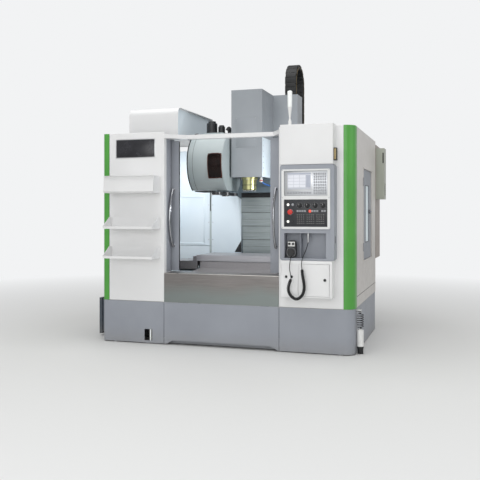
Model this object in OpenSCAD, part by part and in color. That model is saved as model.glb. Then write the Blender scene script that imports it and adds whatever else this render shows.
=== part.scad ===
// Vertical machining centre with a C-shaped frame, an arm-type tool changer and a full enclosure.
// X runs along the table, Y from the operator to the column, Z up. The front door stands open.

/* [Enclosure] */
// Width over the two side walls
enclosure_w = 2488; // [2460:2:2700]
// Shift of the enclosure's middle from the spindle plane
enclosure_shift = -19; // [-30:1:0]
// Depth of the side walls behind the front plane
wall_d = 1560; // [1480:10:1600]
// Height of the front towers and side walls
tower_h = 2050; // [2040:5:2100]
// Depth of the front towers
tower_d = 160; // [120:5:165]
// Width of the door opening between the towers
opening_w = 1140; // [1100:5:1180]
// Shift of the door opening's middle from the spindle plane
opening_shift = -34; // [-50:2:0]
// Thickness of folded sheet metal
sheet = 3; // [2:0.5:4]
// Thickness of a folded side wall panel
wall_t = 30; // [25:1:40]
// Width of the left corner post
left_post_w = 68; // [50:2:80]
// Width of the right corner post
right_post_w = 95; // [94:1:130]
// Outer radius of the right corner post
post_r = 92; // [60:1:94]

/* [Base] */
// Height of the skirts' top edge above the floor
skirt_top = 410; // [390:5:430]
// Gap between the skirts and the floor
floor_gap = 8; // [8:1:25]
// Height of the toe recess in the middle skirt
toe_h = 35; // [20:5:70]
// Width of the machine bed
bed_w = 900; // [840:10:960]
// Height of the bed's guide pads above the floor
bed_top = 500; // [490:1:505]
// Underside of the bed above the floor
bed_z0 = 60; // [50:5:80]
// Diameter of a bed foot
foot_d = 110; // [90:5:140]

/* [Axes] */
// Travel of the table
x_travel = 800; // [700:10:800]
// Travel of the saddle
y_travel = 500; // [440:10:500]
// Travel of the spindle head
z_travel = 550; // [500:10:550]
// Width of a guide rail
rail_w = 45; // [35:1:50]
// Height of a guide rail
rail_h = 40; // [34:1:44]
// Diameter of a ball screw
screw_d = 36; // [30:1:40]
// Running clearance of flat guides
fit = 0.3; // [0.2:0.05:0.5]

/* [Table] */
// Length of the table
table_l = 1000; // [900:10:1020]
// Width of the table
table_w = 500; // [460:10:510]
// Height of the table's top face above the floor
table_top = 830; // [825:1:850]
// Thickness of the table's slab
slab_t = 60; // [50:1:62]
// Width of a T-slot at the top
slot_w = 18; // [14:1:22]
// Distance between T-slots
slot_pitch = 90; // [80:5:100]
// Number of T-slots
slot_count = 5; // [3:2:5]

/* [Column and head] */
// Distance from the front plane to the spindle axis
spindle_y = 840; // [830:5:850]
// Distance from the spindle axis to the column's way cover
throat = 550; // [546:1:560]
// Width of the column above its foot
column_w = 600; // [560:10:600]
// Depth of the column
column_d = 550; // [500:10:600]
// Height of the column's top above the floor
column_top = 2120; // [2110:5:2140]
// Lower end of the spindle head's cover above the floor
head_z0 = 1640; // [1635:1:1660]
// Height of the spindle head's cover
head_h = 910; // [850:10:950]
// Width of the spindle head's cover
head_w = 334; // [320:2:340]
// Distance of the head cover's front from the spindle axis
head_front = 105; // [95:1:115]
// Depth of the head cover
head_d = 440; // [420:5:440]
// Diameter of the spindle nose
nose_d = 150; // [140:2:160]
// Diameter of the spindle shaft
spindle_d = 90; // [80:2:100]
// Large diameter of the spindle's taper
taper_d = 44; // [40:1:48]
// Length of the spindle's taper
taper_l = 65; // [60:1:75]
// Visible step of one way cover plate
cover_step = 155; // [150:1:158]

/* [Tool changer] */
// Distance from the spindle axis to the change arm's axis
arm_reach = 270; // [266:1:272]
// Thickness of the change arm
arm_t = 30; // [24:1:32]
// Radius of the magazine housing
drum_r = 330; // [320:1:335]
// Height of the magazine's axis above the floor
drum_z = 1785; // [1780:1:1800]
// Width of the magazine housing
drum_w = 386; // [380:1:400]
// Number of tool pots
pot_count = 24; // [16:1:24]
// Radius of the pots' pitch circle
pot_ring_r = 250; // [240:1:260]
// Diameter of a tool pot
pot_d = 52; // [46:1:60]

/* [Operator side] */
// Width of the operator console
console_w = 490; // [480:5:500]
// Distance of the console's front from the front plane
console_d = 130; // [110:5:150]
// Height of the console's lower edge above the floor
console_z0 = 846; // [840:2:860]
// Height of the console
console_h = 849; // [845:1:860]
// Distance of the tool trays' front from the front plane
tray_d = 180; // [160:5:200]
// Width of the tool trays
tray_w = 525; // [480:5:540]
// Diameter of the emergency stop button
estop_d = 46; // [36:1:50]
// Diameter of the hand pendant's wheel
wheel_d = 64; // [50:2:70]

/* [Doors] */
// Width of a front door leaf
leaf_w = 615; // [600:5:620]
// Thickness of a front door leaf
leaf_t = 28; // [22:1:32]
// Height of the front doors
leaf_h = 1275; // [1240:5:1280]
// Overhang of an open door leaf past its tower
leaf_show = 76; // [70:1:110]
// Reach of a door handle's bow
handle_reach = 100; // [60:5:110]
// Diameter of the handle's tube
handle_d = 20; // [12:1:24]
// Height of a door handle
handle_h = 560; // [450:10:600]

/* [Hidden] */
$fn = 48;

cream = [0.88, 0.88, 0.87];
green = [0.30, 0.60, 0.26];
grey = [0.58, 0.60, 0.64];
pale_blue = [0.83, 0.89, 0.93];
steel = [0.66, 0.66, 0.66];
cast_grey = [0.42, 0.46, 0.48];
dark = [0.10, 0.10, 0.11];

// Enclosure edges
left_x = enclosure_shift - enclosure_w / 2;
right_x = enclosure_shift + enclosure_w / 2;
open_x0 = opening_shift - opening_w / 2;
open_x1 = opening_shift + opening_w / 2;
left_face_x = left_x + left_post_w;
right_face_x = right_x - right_post_w;
left_in = left_x + wall_t;
right_in = right_x - wall_t;
left_post_r = 28;
seam = 4;
pan_t = 14;
pan_z0 = skirt_top - pan_t;
apron_top = skirt_top + 280;

// Heights of the axes' stack, from the bed up to the table
rail_x_y = 280;
rail_x_z = 200;
saddle_z0 = bed_top + rail_h + fit;
saddle_h = 150;
saddle_top = saddle_z0 + saddle_h;
x_rail_h = 30;
table_z0 = saddle_top + x_rail_h + fit;
saddle_half_l = 500;
saddle_half_d = 270;
saddle_reach = table_l / 2 + x_travel / 2 + 150;
screw_z = bed_top + 5;
bed_y0 = 340;

// Column, head and way cover
cover_y = spindle_y + throat;
column_y0 = cover_y + 80;
column_y1 = column_y0 + column_d;
guide_y = column_y0 - rail_w;
head_back_y = guide_y - fit;
slide_t = 150;
slide_w = 510;
slide_z0 = head_z0 - 145;
slide_z1 = head_z0 + 460;
strip_h = 52;
head_front_y = spindle_y - head_front;
head_rear_y = head_front_y + head_d;
head_top = head_z0 + head_h;
nose_z0 = head_z0 - 140;
plate_count = 5;
plate_t = 2.5;
plate_gap = 1.5;
plate_h = cover_step + 15;
cover_w = 520;
cover_z1 = slide_z0 - strip_h;
cover_z0 = cover_z1 - plate_h - (plate_count - 1) * cover_step;

// Cable box and chain beside the head
box_x1 = 440;
chain_x0 = 240;
chain_w = 125;
chain_t = 50;
chain_y = head_back_y + 15;
chain_r = 195;
chain_top_z = head_top + 385;
chain_fixed_z = column_top + 80;
chain_moving_z = slide_z1 + 100;
link_pitch = 52;
link_lap = 12;

// Tool changer
arm_x = -arm_reach;
pot_x = -2 * arm_reach;
wheel_x = pot_x + 110;
wheel_t = 14;
arm_z1 = nose_z0 - 15;
arm_z0 = arm_z1 - arm_t;
drum_x1 = -190;
drum_x0 = drum_x1 - drum_w;
drum_z0 = nose_z0;
motor_pad_z = drum_z + drum_r + 4;
gearbox_w = 140;
gearbox_x0 = arm_x - gearbox_w / 2;
shaft_r = 30;
stub_r = 24;
bearing_gap = 0.05;

// Operator side
console_x0 = open_x1 + seam + 40;
console_x1 = console_x0 + console_w;
console_z1 = console_z0 + console_h;
console_y = -console_d;
frame_t = 8;
frame_x0 = console_x0 + 17;
frame_x1 = console_x1 - 36;
frame_z0 = console_z0 + 279;
frame_z1 = console_z1 - 40;
port_x0 = frame_x0 + 23;
port_x1 = frame_x1 - 24;
panel_z0 = frame_z0 + 20;
panel_z1 = frame_z0 + 262;
screen_z0 = frame_z0 + 295;
screen_z1 = frame_z1 - 15;
panel_y = console_y - frame_t - 2;
niche_z0 = console_z0 + 20;
niche_z1 = frame_z0 - 36;
niche_d = 100;
niche_x1 = frame_x1 - 38;
divider_x = port_x0 + 145;
estop_x = port_x0 + 60;
estop_z = panel_z0 + 130;
lower_box_z0 = skirt_top + 105;
upper_box_z1 = tower_h + 5;
cabinet_x0 = console_x0 + 168;
cabinet_x1 = console_x1 - 44;
cabinet_z0 = lower_box_z0 + 15;
cabinet_z1 = console_z0 - 31;

// Doors
door_y = tower_d + 26;
door_z0 = apron_top + 12;
door_z1 = door_z0 + leaf_h;
left_leaf_x1 = open_x0 + leaf_show;
right_leaf_x0 = open_x1 - leaf_show - 54;
handle_inset = 56;
window_w = 330;
window_h = 760;

// Right side door
bay_y0 = 581;
bay_y1 = 1233;
bay_z0 = skirt_top + 398;
bay_z1 = skirt_top + 1288;
pane_y0 = bay_y0 + 236;
pane_y1 = bay_y0 + 468;
pane_z0 = bay_z0 + 172;
pane_z1 = bay_z1 - 158;
side_hinge_x = right_x + 6 + fit;
side_leaf_y0 = bay_y0 + 12;

// Electrical cabinet
cab_x0 = 450;
cab_y0 = wall_d + 40;
cab_y1 = cab_y0 + 360;
cab_z0 = 770;
cab_z1 = 2020;

// Coolant tank
tank_x0 = left_x - 192;
tank_y0 = 270;
tank_y1 = 1000;
cooler_x1 = right_x + 90;
air_dx = 36;
cooler_z0 = cab_z0 + 650;
cooler_z1 = cab_z0 + 1212;
handle_y1 = cab_y1 + 55;

// Middle of the machine's outline on the floor, where the origin lies
mid_x = (tank_x0 + cooler_x1) / 2;
mid_y = (-tray_d + max(column_y1, handle_y1)) / 2;

// Route of the hand pendant's cord, as round numbers from the console's lower left corner
lead_r = 4;
coil_r = 13;
handset_lead = [[103, -6, 32], [103, -18, 26], [101, -32, -10], [98, -38, -70], [108, -38, -125],
    [112, -38, -160]];
curly_part = [
    [112, -38, -160], [92, -38, -215], [88, -38, -265], [112, -38, -312], [160, -38, -338],
    [208, -38, -308], [228, -38, -255], [228, -38, -200], [216, -38, -130], [210, -38, -72]
];
plug_part = [[210, -38, -72], [206, -36, -20], [214, -20, 30], [232, 20, 90], [250, 40, 160]];

// Route of the coolant hose, from the spindle axis at the head cover's lower edge
hose_r = 8;
hose_route = [
    [118, 30, 5], [118, 30, -5], [118, 30, -15], [120, 40, -34], [140, 70, -62], [175, 130, -80],
        [205, 220, -84],
    [215, 310, -78], [215, 400, -70], [215, 434.4, -70]
];

module placed() translate([-mid_x, -mid_y, 0]) children();

module block(x, y, z) translate([x[0], y[0], z[0]]) cube([x[1] - x[0], y[1] - y[0], z[1] - z[0]]);

module rounded_rect(x, y, r) {
    translate([x[0] + r, y[0]]) square([x[1] - x[0] - 2 * r, y[1] - y[0]]);
    translate([x[0], y[0] + r]) square([x[1] - x[0], y[1] - y[0] - 2 * r]);
    for (px = [x[0] + r, x[1] - r], py = [y[0] + r, y[1] - r]) translate([px, py]) circle(r);
}

// Stands a drawing in the X-Z plane up, running from y0 towards +Y
module upright(y0, y1) translate([0, y1, 0]) rotate([90, 0, 0]) linear_extrude(y1 - y0) children();

// Lays a drawing in the Y-Z plane along X, from x0 to x1
module along_x(x0, x1) translate([x0, 0, 0]) rotate([90, 0, 90]) linear_extrude(x1 - x0) children();

module rod_x(x0, x1, y, z, r) translate([x0, y, z]) rotate([0, 90, 0]) cylinder(h = x1 - x0, r = r);

module rod_y(x, y0, y1, z, r) translate([x, y1, z]) rotate([90, 0, 0]) cylinder(h = y1 - y0, r = r);

// Plan of a sheet corner: a w by d rectangle whose corner at (w, 0) has radius r
module corner_plan(w, d, r) difference() {
    square([w, d]);
    difference() {
        translate([w - r, -1]) square([r + 1, r + 1]);
        translate([w - r, r]) circle(r);
    }
}

// Plan of one sheet bent around that corner
module bent_plan(w, d, r, t) difference() {
    corner_plan(w, d, r);
    translate([-1, t]) corner_plan(w + 1 - t, d + 1 - t, max(r - t, 2));
}

// Round tube swept along a list of points
function unit(v) = v / norm(v);
function tangent(p, i) = unit(p[min(i + 1, len(p) - 1)] - p[max(i - 1, 0)]);
function side_of(t) = unit(cross(t, [0.31, 0.83, 0.47]));
function ring_of(c, t, r, n) = let (u = side_of(t), v = cross(t, u))
    [for (k = [0 : n - 1]) c + r * (cos(360 * k / n) * u + sin(360 * k / n) * v)];
function bend_point(a, b, c, d, f) = 0.5 * ((2 * b) + (c - a) * f
    + (2 * a - 5 * b + 4 * c - d) * f * f + (3 * b - a - 3 * c + d) * f * f * f);
function route_points(p, m) = [
    for (i = [0 : len(p) - 2], k = [0 : m - 1])
        bend_point(p[max(i - 1, 0)], p[i], p[i + 1], p[min(i + 2, len(p) - 1)], k / m),
    p[len(p) - 1]
];
module swept_tube(route, r, steps, sides) {
    p = route_points(route, steps);
    n = len(p);
    rings = [for (i = [0 : n - 1]) each ring_of(p[i], tangent(p, i), r, sides)];
    walls = [for (i = [0 : n - 2], k = [0 : sides - 1]) let (j = (k + 1) % sides)
        [i * sides + k, i * sides + j, (i + 1) * sides + j, (i + 1) * sides + k]];
    first = [[for (k = [sides - 1 : -1 : 0]) k]];
    last = [[for (k = [0 : sides - 1]) (n - 1) * sides + k]];
    polyhedron(points = rings, faces = concat(first, walls, last));
}

module screw_foot(x, y, d, top) translate([x, y, 0]) {
    cylinder(h = 14, d = d);
    translate([0, 0, 14]) cylinder(h = 8, d1 = d, d2 = d * 0.6);
    cylinder(h = top, d = d * 0.27);
    translate([0, 0, 24]) cylinder(h = min(16, top - 25), d = d * 0.46, $fn = 6);
}

module levelling_feet() color(steel) placed() {
    for (x = [-bed_w / 2 + 80, bed_w / 2 - 80], y = [bed_y0 + 100, spindle_y + 150, column_y1 - 180])
        screw_foot(x, y, foot_d, bed_z0);
    for (x = [left_x + 130, right_x - 130]) translate([x, 24, 0]) {
        cylinder(h = 6, d = 40);
        cylinder(h = pan_z0 - sheet, d = 14);
    }
    for (x = [left_x + 24, right_x - 24]) translate([x, wall_d - 100, 0]) {
        cylinder(h = 6, d = 40);
        cylinder(h = pan_z0 - sheet, d = 14);
    }
}

module machine_bed() color(cast_grey) placed() {
    pad = rail_x_y + 50;
    side = bed_w / 2;
    difference() {
        upright(bed_y0, column_y1 - 60) polygon([
            [-side, bed_z0], [side, bed_z0], [side, 300], [pad, 380], [pad, bed_top], [pad - 100, bed_top],
            [pad - 100, bed_top - 40], [100 - pad, bed_top - 40], [100 - pad, bed_top], [-pad, bed_top],
            [-pad, 380], [-side, 300]
        ]);
        for (y = [420, 820, 1220]) block([-side - 1, -side + 60], [y, y + 280], [bed_z0 + 50, 240]);
        for (y = [420, 820, 1220]) block([side - 60, side + 1], [y, y + 280], [bed_z0 + 50, 240]);
    }
    block([-pad - 60, pad + 60], [column_y0, column_y1 - 60], [300, bed_top]);
}

module column() color(cast_grey) placed() {
    top = column_w / 2;
    foot = top + 90;
    difference() {
        upright(column_y0, column_y1) polygon([
            [-foot, bed_top], [foot, bed_top], [foot, bed_top + 120], [top, bed_top + 420],
            [top, column_top], [-top, column_top], [-top, bed_top + 420], [-foot, bed_top + 120]
        ]);
        for (z = [bed_top + 160, bed_top + 660, bed_top + 1110])
            upright(column_y1 - 90, column_y1 + 1) rounded_rect([-120, 120], [z, z + 260], 60);
    }
    for (z = [cab_z0 + 120, cab_z1 - 260])
        block([top, cab_x0], [cab_y0 + 120, cab_y0 + 320], [z, z + 90]);
    block([chain_x0, top], [chain_y + 2 * chain_r - 60, chain_y + 2 * chain_r + 60],
        [column_top - 5, chain_fixed_z - link_lap]);
}

module guide_rails() color(steel) placed() {
    for (s = [-1, 1]) {
        block([s * rail_x_y - rail_w / 2, s * rail_x_y + rail_w / 2], [bed_y0 + 50, column_y0 - 30],
            [bed_top, bed_top + rail_h]);
        block([s * rail_x_z - rail_w / 2, s * rail_x_z + rail_w / 2], [guide_y, column_y0],
            [900, column_top - 5]);
    }
    rod_y(0, bed_y0, column_y0 - 60, screw_z, screw_d / 2);
    for (y = [bed_y0 + 10, column_y0 - 120]) block([-50, 50], [y, y + 60], [bed_top - 40, bed_top + 28]);
    translate([0, guide_y + rail_w / 2, 860]) cylinder(h = column_top - 860, d = screw_d);
    for (z = [860, column_top - 70]) block([-45, 45], [guide_y + 2, column_y0], [z, z + 60]);
}

module base_pan() color(steel) placed() {
    hole_x = bed_w / 2 + 6;
    front = sheet + 2;
    upstand_y = door_y + leaf_t + 8;
    difference() {
        translate([0, front, pan_z0]) linear_extrude(pan_t) {
            corner_plan(right_x - sheet, wall_d - front, post_r);
            mirror([1, 0]) corner_plan(-left_x - sheet, wall_d - front, left_post_r);
        }
        block([-hole_x, hole_x], [upstand_y + 6, wall_d + 1], [pan_z0 - 1, skirt_top + 1]);
        block([left_in + 40, -hole_x - 40], [upstand_y, wall_d - 60], [pan_z0 + sheet, skirt_top + 1]);
        block([hole_x + 40, right_in - 40], [upstand_y, wall_d - 60], [pan_z0 + sheet, skirt_top + 1]);
    }
    for (x = [-hole_x - 6, hole_x]) block([x, x + 6], [upstand_y, wall_d], [skirt_top, bed_top + 30]);
    block([-hole_x - 6, hole_x + 6], [upstand_y, upstand_y + 6], [skirt_top, bed_top + 30]);
    cover_plate(0, cover_z0 + plate_h, cover_z0 + plate_h - bed_top - rail_h - 5, column_y0);
}

// Skirts stand in front of the base and turn back around both sides
module front_skirts() color(grey) placed() {
    h = skirt_top - floor_gap;
    rail = 40;
    translate([open_x1 + seam, 0, floor_gap]) skirt_wrap(right_x - open_x1 - seam, post_r, h, rail);
    difference() {
        translate([open_x0 - seam, 0, floor_gap]) mirror([1, 0, 0])
            skirt_wrap(open_x0 - seam - left_x, left_post_r, h, rail);
        block([left_x - 1, left_x + rail + 1], [tank_y0 - 12, tank_y1 + 22],
            [floor_gap - 1, pan_z0 - sheet]);
        block([-812, -730], [-1, sheet + 1], [30, 140]);
    }
    difference() {
        union() {
            block([open_x0, open_x1], [0, sheet], [floor_gap, skirt_top - 2]);
            block([open_x0, open_x1], [sheet, rail], [pan_z0 - sheet, pan_z0]);
        }
        upright(-1, sheet + 1) toe_outline(0);
    }
    difference() {
        upright(sheet, 63) toe_outline(6);
        upright(sheet - 1, 60) toe_outline(0);
    }
    translate([-752, sheet + 9, 30]) cylinder(h = 110, d = 14);
    for (z = [24, 140]) block([-762, -742], [sheet, sheet + 18], [z, z + 6]);
}

module toe_outline(grow) polygon([
    [open_x0 + 25 - grow, floor_gap - (grow > 0 ? 0 : 1)],
        [open_x1 - 7 + grow, floor_gap - (grow > 0 ? 0 : 1)],
    [open_x1 - 78 + grow, floor_gap + toe_h + grow], [open_x0 + 87 - grow, floor_gap + toe_h + grow]
]);

module skirt_wrap(w, r, h, rail) {
    linear_extrude(h - 2) bent_plan(w, wall_d - 40, r, sheet);
    translate([0, 0, pan_z0 - sheet - floor_gap]) linear_extrude(sheet) bent_plan(w, wall_d - 40, r, rail);
}

// Folded front cover: a tray of sheet metal whose open side faces the rear
module front_cover(x0, x1, z0, z1, d) difference() {
    block([x0, x1], [0, d], [z0, z1]);
    block([x0 + sheet, x1 - sheet], [sheet, d + 1], [z0 + sheet, z1 - sheet]);
}

module left_tower() color(cream) placed() {
    front_cover(left_face_x, open_x0, skirt_top, tower_h, tower_d);
    block([open_x0 - 60, open_x0], [tower_d - sheet, tower_d], [skirt_top, tower_h]);
    block([left_face_x, left_face_x + 30], [tower_d - sheet, tower_d], [skirt_top, tower_h]);
}

module right_tower() color(cream) placed() {
    difference() {
        front_cover(open_x1, right_face_x, skirt_top, tower_h, tower_d);
        block([console_x0 + 60, console_x1 - 60], [-1, sheet + 1], [console_z0 + 60, frame_z1 - 60]);
    }
    block([open_x1, open_x1 + 60], [tower_d - sheet, tower_d], [skirt_top, tower_h]);
    block([right_face_x - 30, right_face_x], [tower_d - sheet, tower_d], [skirt_top, tower_h]);
}

module corner_posts() color(green) placed() {
    translate([right_face_x, 0, skirt_top]) linear_extrude(tower_h - skirt_top)
        bent_plan(right_post_w, tower_d, post_r, sheet);
    translate([left_face_x, 0, skirt_top]) linear_extrude(tower_h - skirt_top)
        mirror([1, 0, 0]) bent_plan(left_post_w, tower_d, left_post_r, sheet);
}

// Beam between the towers, with splayed ends, and the rail that both doors hang from
module front_beam() color(cream) placed() {
    z0 = door_z1 + 13;
    translate([0, 0, z0]) linear_extrude(tower_h - 20 - z0) polygon([
        [open_x0, 0], [open_x0 + 174, tower_d], [open_x1 - 96, tower_d], [open_x1, 0],
            [open_x1, tower_d + 14],
        [open_x0, tower_d + 14]
    ]);
    block([left_in, right_in], [door_y - 6, door_y + leaf_t + 6], [z0, z0 + 35]);
    for (x = [left_in, open_x0 - 50]) block([x, x + 50], [tower_d, door_y - 6], [z0, z0 + 35]);
    for (x = [open_x1, right_in - 50]) block([x, x + 50], [tower_d, door_y - 6], [z0, z0 + 35]);
    block([open_x0, open_x1], [tower_d + 14, door_y - 6], [z0, z0 + 35]);
}

module front_apron() color(steel) placed() {
    block([open_x0, open_x1], [0, sheet], [skirt_top, apron_top]);
    block([open_x0, open_x1], [0, tower_d + 20], [apron_top - sheet, apron_top]);
    block([open_x0, open_x1], [tower_d + 20 - sheet, tower_d + 20], [skirt_top, apron_top]);
    block([left_in, right_in], [door_y - 6, door_y + leaf_t + 6], [apron_top - 26, apron_top]);
    for (x = [left_in, right_in - 6]) block([x, x + 6], [door_y - 6, door_y + leaf_t + 6],
        [skirt_top, apron_top - 26]);
}

// Folded side panel between the front post and the rear, as a frame around its sheet
module side_panel(d) {
    block([wall_t - sheet, wall_t], [0, d], [0, tower_h - skirt_top]);
    block([0, wall_t], [0, d], [0, sheet]);
    block([-40, wall_t], [0, d], [tower_h - skirt_top - sheet, tower_h - skirt_top]);
    for (y = [0, d - sheet]) block([0, wall_t], [y, y + sheet], [0, tower_h - skirt_top]);
}

module left_wall() color(cream) placed()
    translate([left_in, tower_d, skirt_top]) mirror([1, 0, 0]) side_panel(wall_d - tower_d);

module right_wall() color(cream) placed() difference() {
    union() {
        translate([right_in, tower_d, skirt_top]) side_panel(wall_d - tower_d);
        block([right_in, right_x], [bay_y0 - sheet, bay_y1 + sheet], [bay_z0 - sheet, bay_z1 + sheet]);
    }
    block([right_in - 1, right_x + 1], [bay_y0, bay_y1], [bay_z0, bay_z1]);
}

// Panels that close the rear of the cutting space on both sides of the column
module rear_guards() color(pale_blue) placed() {
    y = [cover_y + 15, cover_y + 35];
    edge = cover_w / 2 + 10;
    seam_x = -643;
    low = bed_top + rail_h + fit;
    block([left_x + sheet, seam_x - 6], y, [low, tower_h - 60]);
    upright(y[0], y[1]) polygon([
        [seam_x, low], [-edge, low], [-edge, slide_z0 - 70], [-edge - 80, slide_z0 - 20],
            [seam_x, slide_z0 - 20]
    ]);
    upright(y[0], y[1]) polygon([
        [edge, low], [right_x - sheet, low], [right_x - sheet, tower_h - 60], [cab_x0 + 10, tower_h - 60],
            [cab_x0 + 10, 1560],
        [edge, 1560]
    ]);
    for (s = [-1, 1]) block([s * 646 - 20, s * 646 + 20], [y[1], y[1] + 14], [low, 1400]);
}

module magazine_hood() color(cream) placed() {
    x = [left_in + 30, -650];
    y = [450, 1490];
    z = [tower_h, tower_h + 310];
    r = 70;
    difference() {
        along_x(x[0], x[1]) hood_profile(y, z, r);
        along_x(x[0] + sheet, x[1] + 1) hood_profile([y[0] + sheet, y[1] - sheet], [z[0] - 1, z[1] - sheet],
            r - sheet);
    }
    along_x(x[1] - 30 - sheet, x[1] - 30) hood_profile(y, z, r);
    block([x[0] - 30, x[1]], [y[0], y[0] + 30], [z[0], z[0] + sheet]);
    block([x[0] - 30, x[1]], [y[1] - 30, y[1]], [z[0], z[0] + sheet]);
    block([left_in - 20, x[0] + 20], y, [z[0], z[0] + sheet]);
}

module hood_profile(y, z, r) {
    translate([y[0] + r, z[0]]) square([y[1] - y[0] - r, z[1] - z[0]]);
    translate([y[0], z[0]]) square([r + 1, z[1] - z[0] - r]);
    translate([y[0] + r, z[1] - r]) circle(r);
}

// Box and two open trays on the left tower, for tools and drawings
module tool_shelves() color(cream) placed() {
    x0 = left_face_x + 25;
    x1 = x0 + tray_w;
    box_z = tower_h - 590;
    along_x(x0, x1) polygon([
        [0, box_z], [-150, box_z], [-tray_d + 12, box_z + 14], [-tray_d + 26, box_z + 160], [0, box_z + 160]
    ]);
    for (z = [tower_h - 935, tower_h - 1220]) tool_tray(x0, x1, z);
}

module tool_tray(x0, x1, z) {
    block([x0, x1], [-tray_d, 0], [z, z + sheet]);
    block([x0, x1], [-tray_d, -tray_d + sheet], [z, z + 24]);
    block([x0, x1], [-sheet, 0], [z, z + 112]);
    for (x = [x0, x1 - sheet])
        along_x(x, x + sheet) polygon([[0, z], [-tray_d, z], [-tray_d, z + 24], [-50, z + 112],
            [0, z + 112]]);
}

// Cream boxes above and below the console
module console_housing() color(cream) placed() {
    x = [console_x0, console_x1 - 12];
    block(x, [console_y, 0], [console_z1 + 2, upper_box_z1]);
    difference() {
        block([console_x0 + 6, console_x1 - 20], [console_y, 0], [lower_box_z0, console_z0 - 1]);
        block([cabinet_x0, cabinet_x1], [console_y - 1, -8], [cabinet_z0, cabinet_z1]);
        block([console_x0 + 14, cabinet_x0 - 14], [console_y - 1, console_y + 6],
            [cabinet_z1 - 100, cabinet_z1]);
        for (dx = [-25, 25]) rod_y(cabinet_x0 - 85 + dx, console_y - 1, console_y + 26, cabinet_z1 - 115,
            11);
    }
}

module operator_console() color(grey) placed() difference() {
    upright(console_y, 0) rounded_rect([console_x0, console_x1], [console_z0, console_z1], 22);
    block([console_x0 + 12, console_x1 - 12], [-18, 1], [console_z0 + 12, console_z1 - 12]);
    block([port_x0 - 2, port_x1 + 2], [console_y - 1, -30], [panel_z0 - 2, panel_z1 + 2]);
    block([port_x0 - 2, port_x1 + 2], [console_y - 1, -30], [screen_z0 - 2, screen_z1 + 2]);
    block([port_x0, niche_x1], [console_y - 1, console_y + niche_d], [niche_z0, niche_z1]);
}

// Light frame around the screen and the operating panel, with the screen set back in it
module display_unit() color([0.86, 0.86, 0.85]) placed() {
    difference() {
        upright(console_y - frame_t, console_y) rounded_rect([frame_x0, frame_x1], [frame_z0, frame_z1],
            12);
        block([port_x0, port_x1], [console_y - 20, console_y + 1], [panel_z0, panel_z1]);
        block([port_x0, port_x1], [console_y - 20, console_y + 1], [screen_z0, screen_z1]);
    }
    for (x = [[port_x0 - 2, port_x0], [port_x1, port_x1 + 2]])
        block(x, [console_y - 1, console_y + 20], [screen_z0 - 2, screen_z1 + 2]);
    block([port_x0 - 2, port_x1 + 2], [console_y + 10, console_y + 60], [screen_z0 - 2, screen_z1 + 2]);
}

// Operating panel: keys, rotary switches and push buttons on one dark plate
module control_panel() color(dark) placed() {
    difference() {
        block([port_x0 + fit, port_x1 - fit], [panel_y, console_y + 40], [panel_z0 + fit, panel_z1 - fit]);
        rod_y(estop_x, panel_y - 1, console_y + 41, estop_z, 11 + fit);
    }
    for (i = [0 : 3]) {
        x = port_x0 + 142 + i * 70;
        rod_y(x, panel_y - 6, panel_y, panel_z1 - 54, 22);
        rod_y(x, panel_y - 26, panel_y - 6, panel_z1 - 54, 15);
        block([x - 4, x + 4], [panel_y - 28, panel_y - 6], [panel_z1 - 73, panel_z1 - 35]);
    }
    for (x = [estop_x - 22, estop_x + 20], z = [panel_z0 + 46, panel_z1 - 46])
        rod_y(x, panel_y - 9, panel_y, z, 11);
    for (b = [0 : 2], c = [0 : 3], r = [0 : 4])
        block([port_x0 + 116 + b * 88 + c * 19, port_x0 + 131 + b * 88 + c * 19], [panel_y - 4, panel_y],
            [panel_z0 + 22 + r * 19, panel_z0 + 37 + r * 19]);
    for (i = [0 : 11])
        block([port_x0 + 116 + i * 22, port_x0 + 134 + i * 22], [panel_y - 4, panel_y],
            [panel_z0 + 131, panel_z0 + 147]);
}

module emergency_stop() color([0.85, 0.16, 0.10]) placed() {
    rod_y(estop_x, panel_y - 6.5, console_y + 30, estop_z, 11);
    translate([estop_x, panel_y - 9.5, estop_z]) rotate([90, 0, 0]) rotate_extrude() polygon([
        [0, -3], [estop_d / 2 - 8, -3], [estop_d / 2, 4], [estop_d / 2, 12], [estop_d / 2 - 4, 17], [0, 19]
    ]);
}

module signal_lamp() color([0.90, 0.90, 0.89]) placed() translate([open_x1 + 75, tower_d - 40, tower_h]) {
    cylinder(h = 70, d = 30);
    translate([0, 0, 70]) cylinder(h = 24, d1 = 30, d2 = 14);
    translate([0, 0, 94]) cylinder(h = 104, d1 = 14, d2 = 38);
    translate([0, 0, 198]) cylinder(h = 144, d1 = 40, d2 = 44);
    translate([0, 0, 342]) cylinder(h = 8, d1 = 44, d2 = 34);
}

module electrical_cabinet() color(cream) placed() {
    difference() {
        block([cab_x0, right_x], [cab_y0, cab_y1], [cab_z0, cab_z1]);
        block([cab_x0 + 20, right_x - 20], [cab_y0 + 20, cab_y1 + 1], [cab_z0 + 20, cab_z1 - 20]);
    }
    block([cab_x0 + 60, right_x - 60], [cab_y0 + 20, cab_y0 + 60], [cab_z0 + 60, cab_z1 - 60]);
}

module electrical_door() color(cream) placed() {
    block([cab_x0 + 14, right_x], [cab_y1 + fit, cab_y1 + 25], [cab_z0, cab_z1]);
    for (z = [cab_z0 + 180, cab_z1 - 260]) {
        translate([cab_x0 + 7, cab_y1 + 13, z]) cylinder(h = 80, d = 12);
        block([cab_x0 + 7, cab_x0 + 14], [cab_y1 + 8, cab_y1 + 18], [z + 5, z + 75]);
    }
    rod_y(right_x - 50, cab_y1 + 25, cab_y1 + 45, (cab_z0 + cab_z1) / 2, 14);
    block([right_x - 58, right_x - 42], [cab_y1 + 45, handle_y1],
        [(cab_z0 + cab_z1) / 2 - 60, (cab_z0 + cab_z1) / 2 + 20]);
}

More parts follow.
